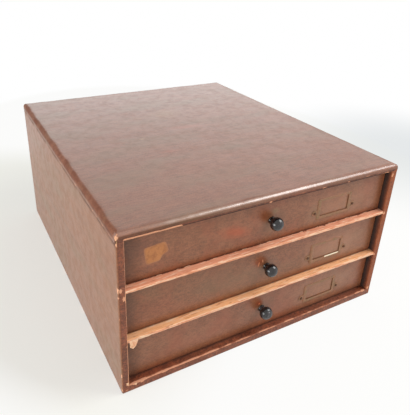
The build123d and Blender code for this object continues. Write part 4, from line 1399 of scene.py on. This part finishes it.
def makeFloor():
    # rings of a disc; far from the box it turns plain white, so that no horizon shows
    rings = np.array(floor["rings"])[:, None]
    turns = np.linspace(0, 2 * pi, floor["around"], endpoint=False)[None]
    grid = np.stack([rings * np.cos(turns), rings * np.sin(turns), 0 * rings + 0 * turns], -1)
    mesh = bpy.data.meshes.new("floor")
    faces = gridFaces(len(rings), floor["around"], wrap=True)
    mesh.from_pydata(grid.reshape(-1, 3).tolist(), [], faces)
    work = bmesh.new()
    work.from_mesh(mesh)
    bmesh.ops.remove_doubles(work, verts=work.verts, dist=0.01 * mm)
    work.to_mesh(mesh)
    work.free()
    material = bpy.data.materials.new("paleFloor")
    material.use_nodes = True
    tree = material.node_tree
    tree.nodes.clear()
    place = addNode(tree, "TexCoord").outputs["Object"]
    matte = addNode(tree, "BsdfDiffuse", {"Color": tone(*floor["colour"])})
    # painted shadow: a grey patch in the plain white to the right of the box
    offShade = awayFrom(tree, place, floor["shadeAt"], floor["shadeReach"])
    shade = tint(tree, (1, 1, 1, 1), fade(tree, offShade, 0.1, 1.0, 1.0, 0.0), floor["shade"])
    plain = addNode(tree, "Emission", {"Color": shade, "Strength": 1.0})
    away = awayFrom(tree, place, floor["middle"], floor["reach"])
    offLeft = awayFrom(tree, place, floor["leftMiddle"], floor["leftReach"])
    beside = fade(tree, offLeft, floor["leftFrom"], floor["leftTo"], floor["lift"], floor["frontLift"])
    share = calc(tree, "MAXIMUM", fade(tree, away, floor["plainFrom"], floor["plainTo"]), beside)
    endWith(tree, "OutputMaterial", times(tree, seenDirectly(tree), share), matte, plain)
    piece = bpy.data.objects.new("floor", mesh)
    mesh.materials.append(material)
    bpy.context.scene.collection.objects.link(piece)


def makeWorld():
    world = bpy.data.worlds.new("softRoom")
    bpy.context.scene.world = world
    world.use_nodes = True
    tree = world.node_tree
    tree.nodes.clear()
    room = addNode(tree, "Background", {"Color": tone(252, 252, 252), "Strength": 0.55})
    white = addNode(tree, "Background", {"Color": (1, 1, 1, 1), "Strength": 1.0})
    endWith(tree, "OutputWorld", seenDirectly(tree), room, white)


softboxes = {
    "keyLight": {"at": (0.8, -0.55, 0.98), "size": (0.7, 0.7), "watts": 8.8},
    "leftFill": {"at": (-1.68, -0.45, 0.32), "size": (1.3, 0.6), "watts": 16.0},
    "backSheen": {"at": (0.75, 2.2, 0.62), "size": (2.6, 0.6), "watts": 3.2},
}


def makeLights():
    for name, setup in softboxes.items():
        light = bpy.data.lights.new(name, "AREA")
        light.shape = "RECTANGLE"
        light.size, light.size_y = setup["size"]
        light.energy = setup["watts"]
        lamp = bpy.data.objects.new(name, light)
        lamp.location = setup["at"]
        aim = Vector((0, 0, 0.15)) - lamp.location
        lamp.rotation_mode = "QUATERNION"
        lamp.rotation_quaternion = aim.to_track_quat("-Z", "Y")
        bpy.context.scene.collection.objects.link(lamp)


photoView = {
    "imageSize": (410, 415), "focalPixels": 465.3, "middle": (188.4, 168.2),
    "place": (-0.28179, -0.52441, 0.40859),
    "azimuth": -28.80, "elevation": 24.82, "roll": 1.69, "sensor": 36.0,
}


def makeCamera():
    # back is the way from the object to the camera; roll turns the picture about it
    az, el, roll = (radians(photoView[k]) for k in ("azimuth", "elevation", "roll"))
    back = Vector((sin(az) * cos(el), -cos(az) * cos(el), sin(el)))
    right = Vector((0, 0, 1)).cross(back).normalized()
    up = back.cross(right)
    turnedRight = right * cos(roll) + up * sin(roll)
    turnedUp = up * cos(roll) - right * sin(roll)
    width, height = photoView["imageSize"]
    longSide = max(width, height)
    data = bpy.data.cameras.new("photoCamera")
    data.sensor_width = photoView["sensor"]
    data.lens = photoView["focalPixels"] / longSide * photoView["sensor"]
    data.shift_x = (width / 2 - photoView["middle"][0]) / longSide
    data.shift_y = (photoView["middle"][1] - height / 2) / longSide
    data.clip_start, data.clip_end = 0.01, 50
    camera = bpy.data.objects.new("photoCamera", data)
    turned = Matrix((turnedRight, turnedUp, back)).transposed().to_4x4()
    camera.matrix_world = Matrix.Translation(photoView["place"]) @ turned
    bpy.context.scene.collection.objects.link(camera)
    bpy.context.scene.camera = camera


makeFloor()
makeWorld()
makeLights()
makeCamera()
bpy.context.scene.view_settings.view_transform = "Standard"
print("floor, light and camera set")
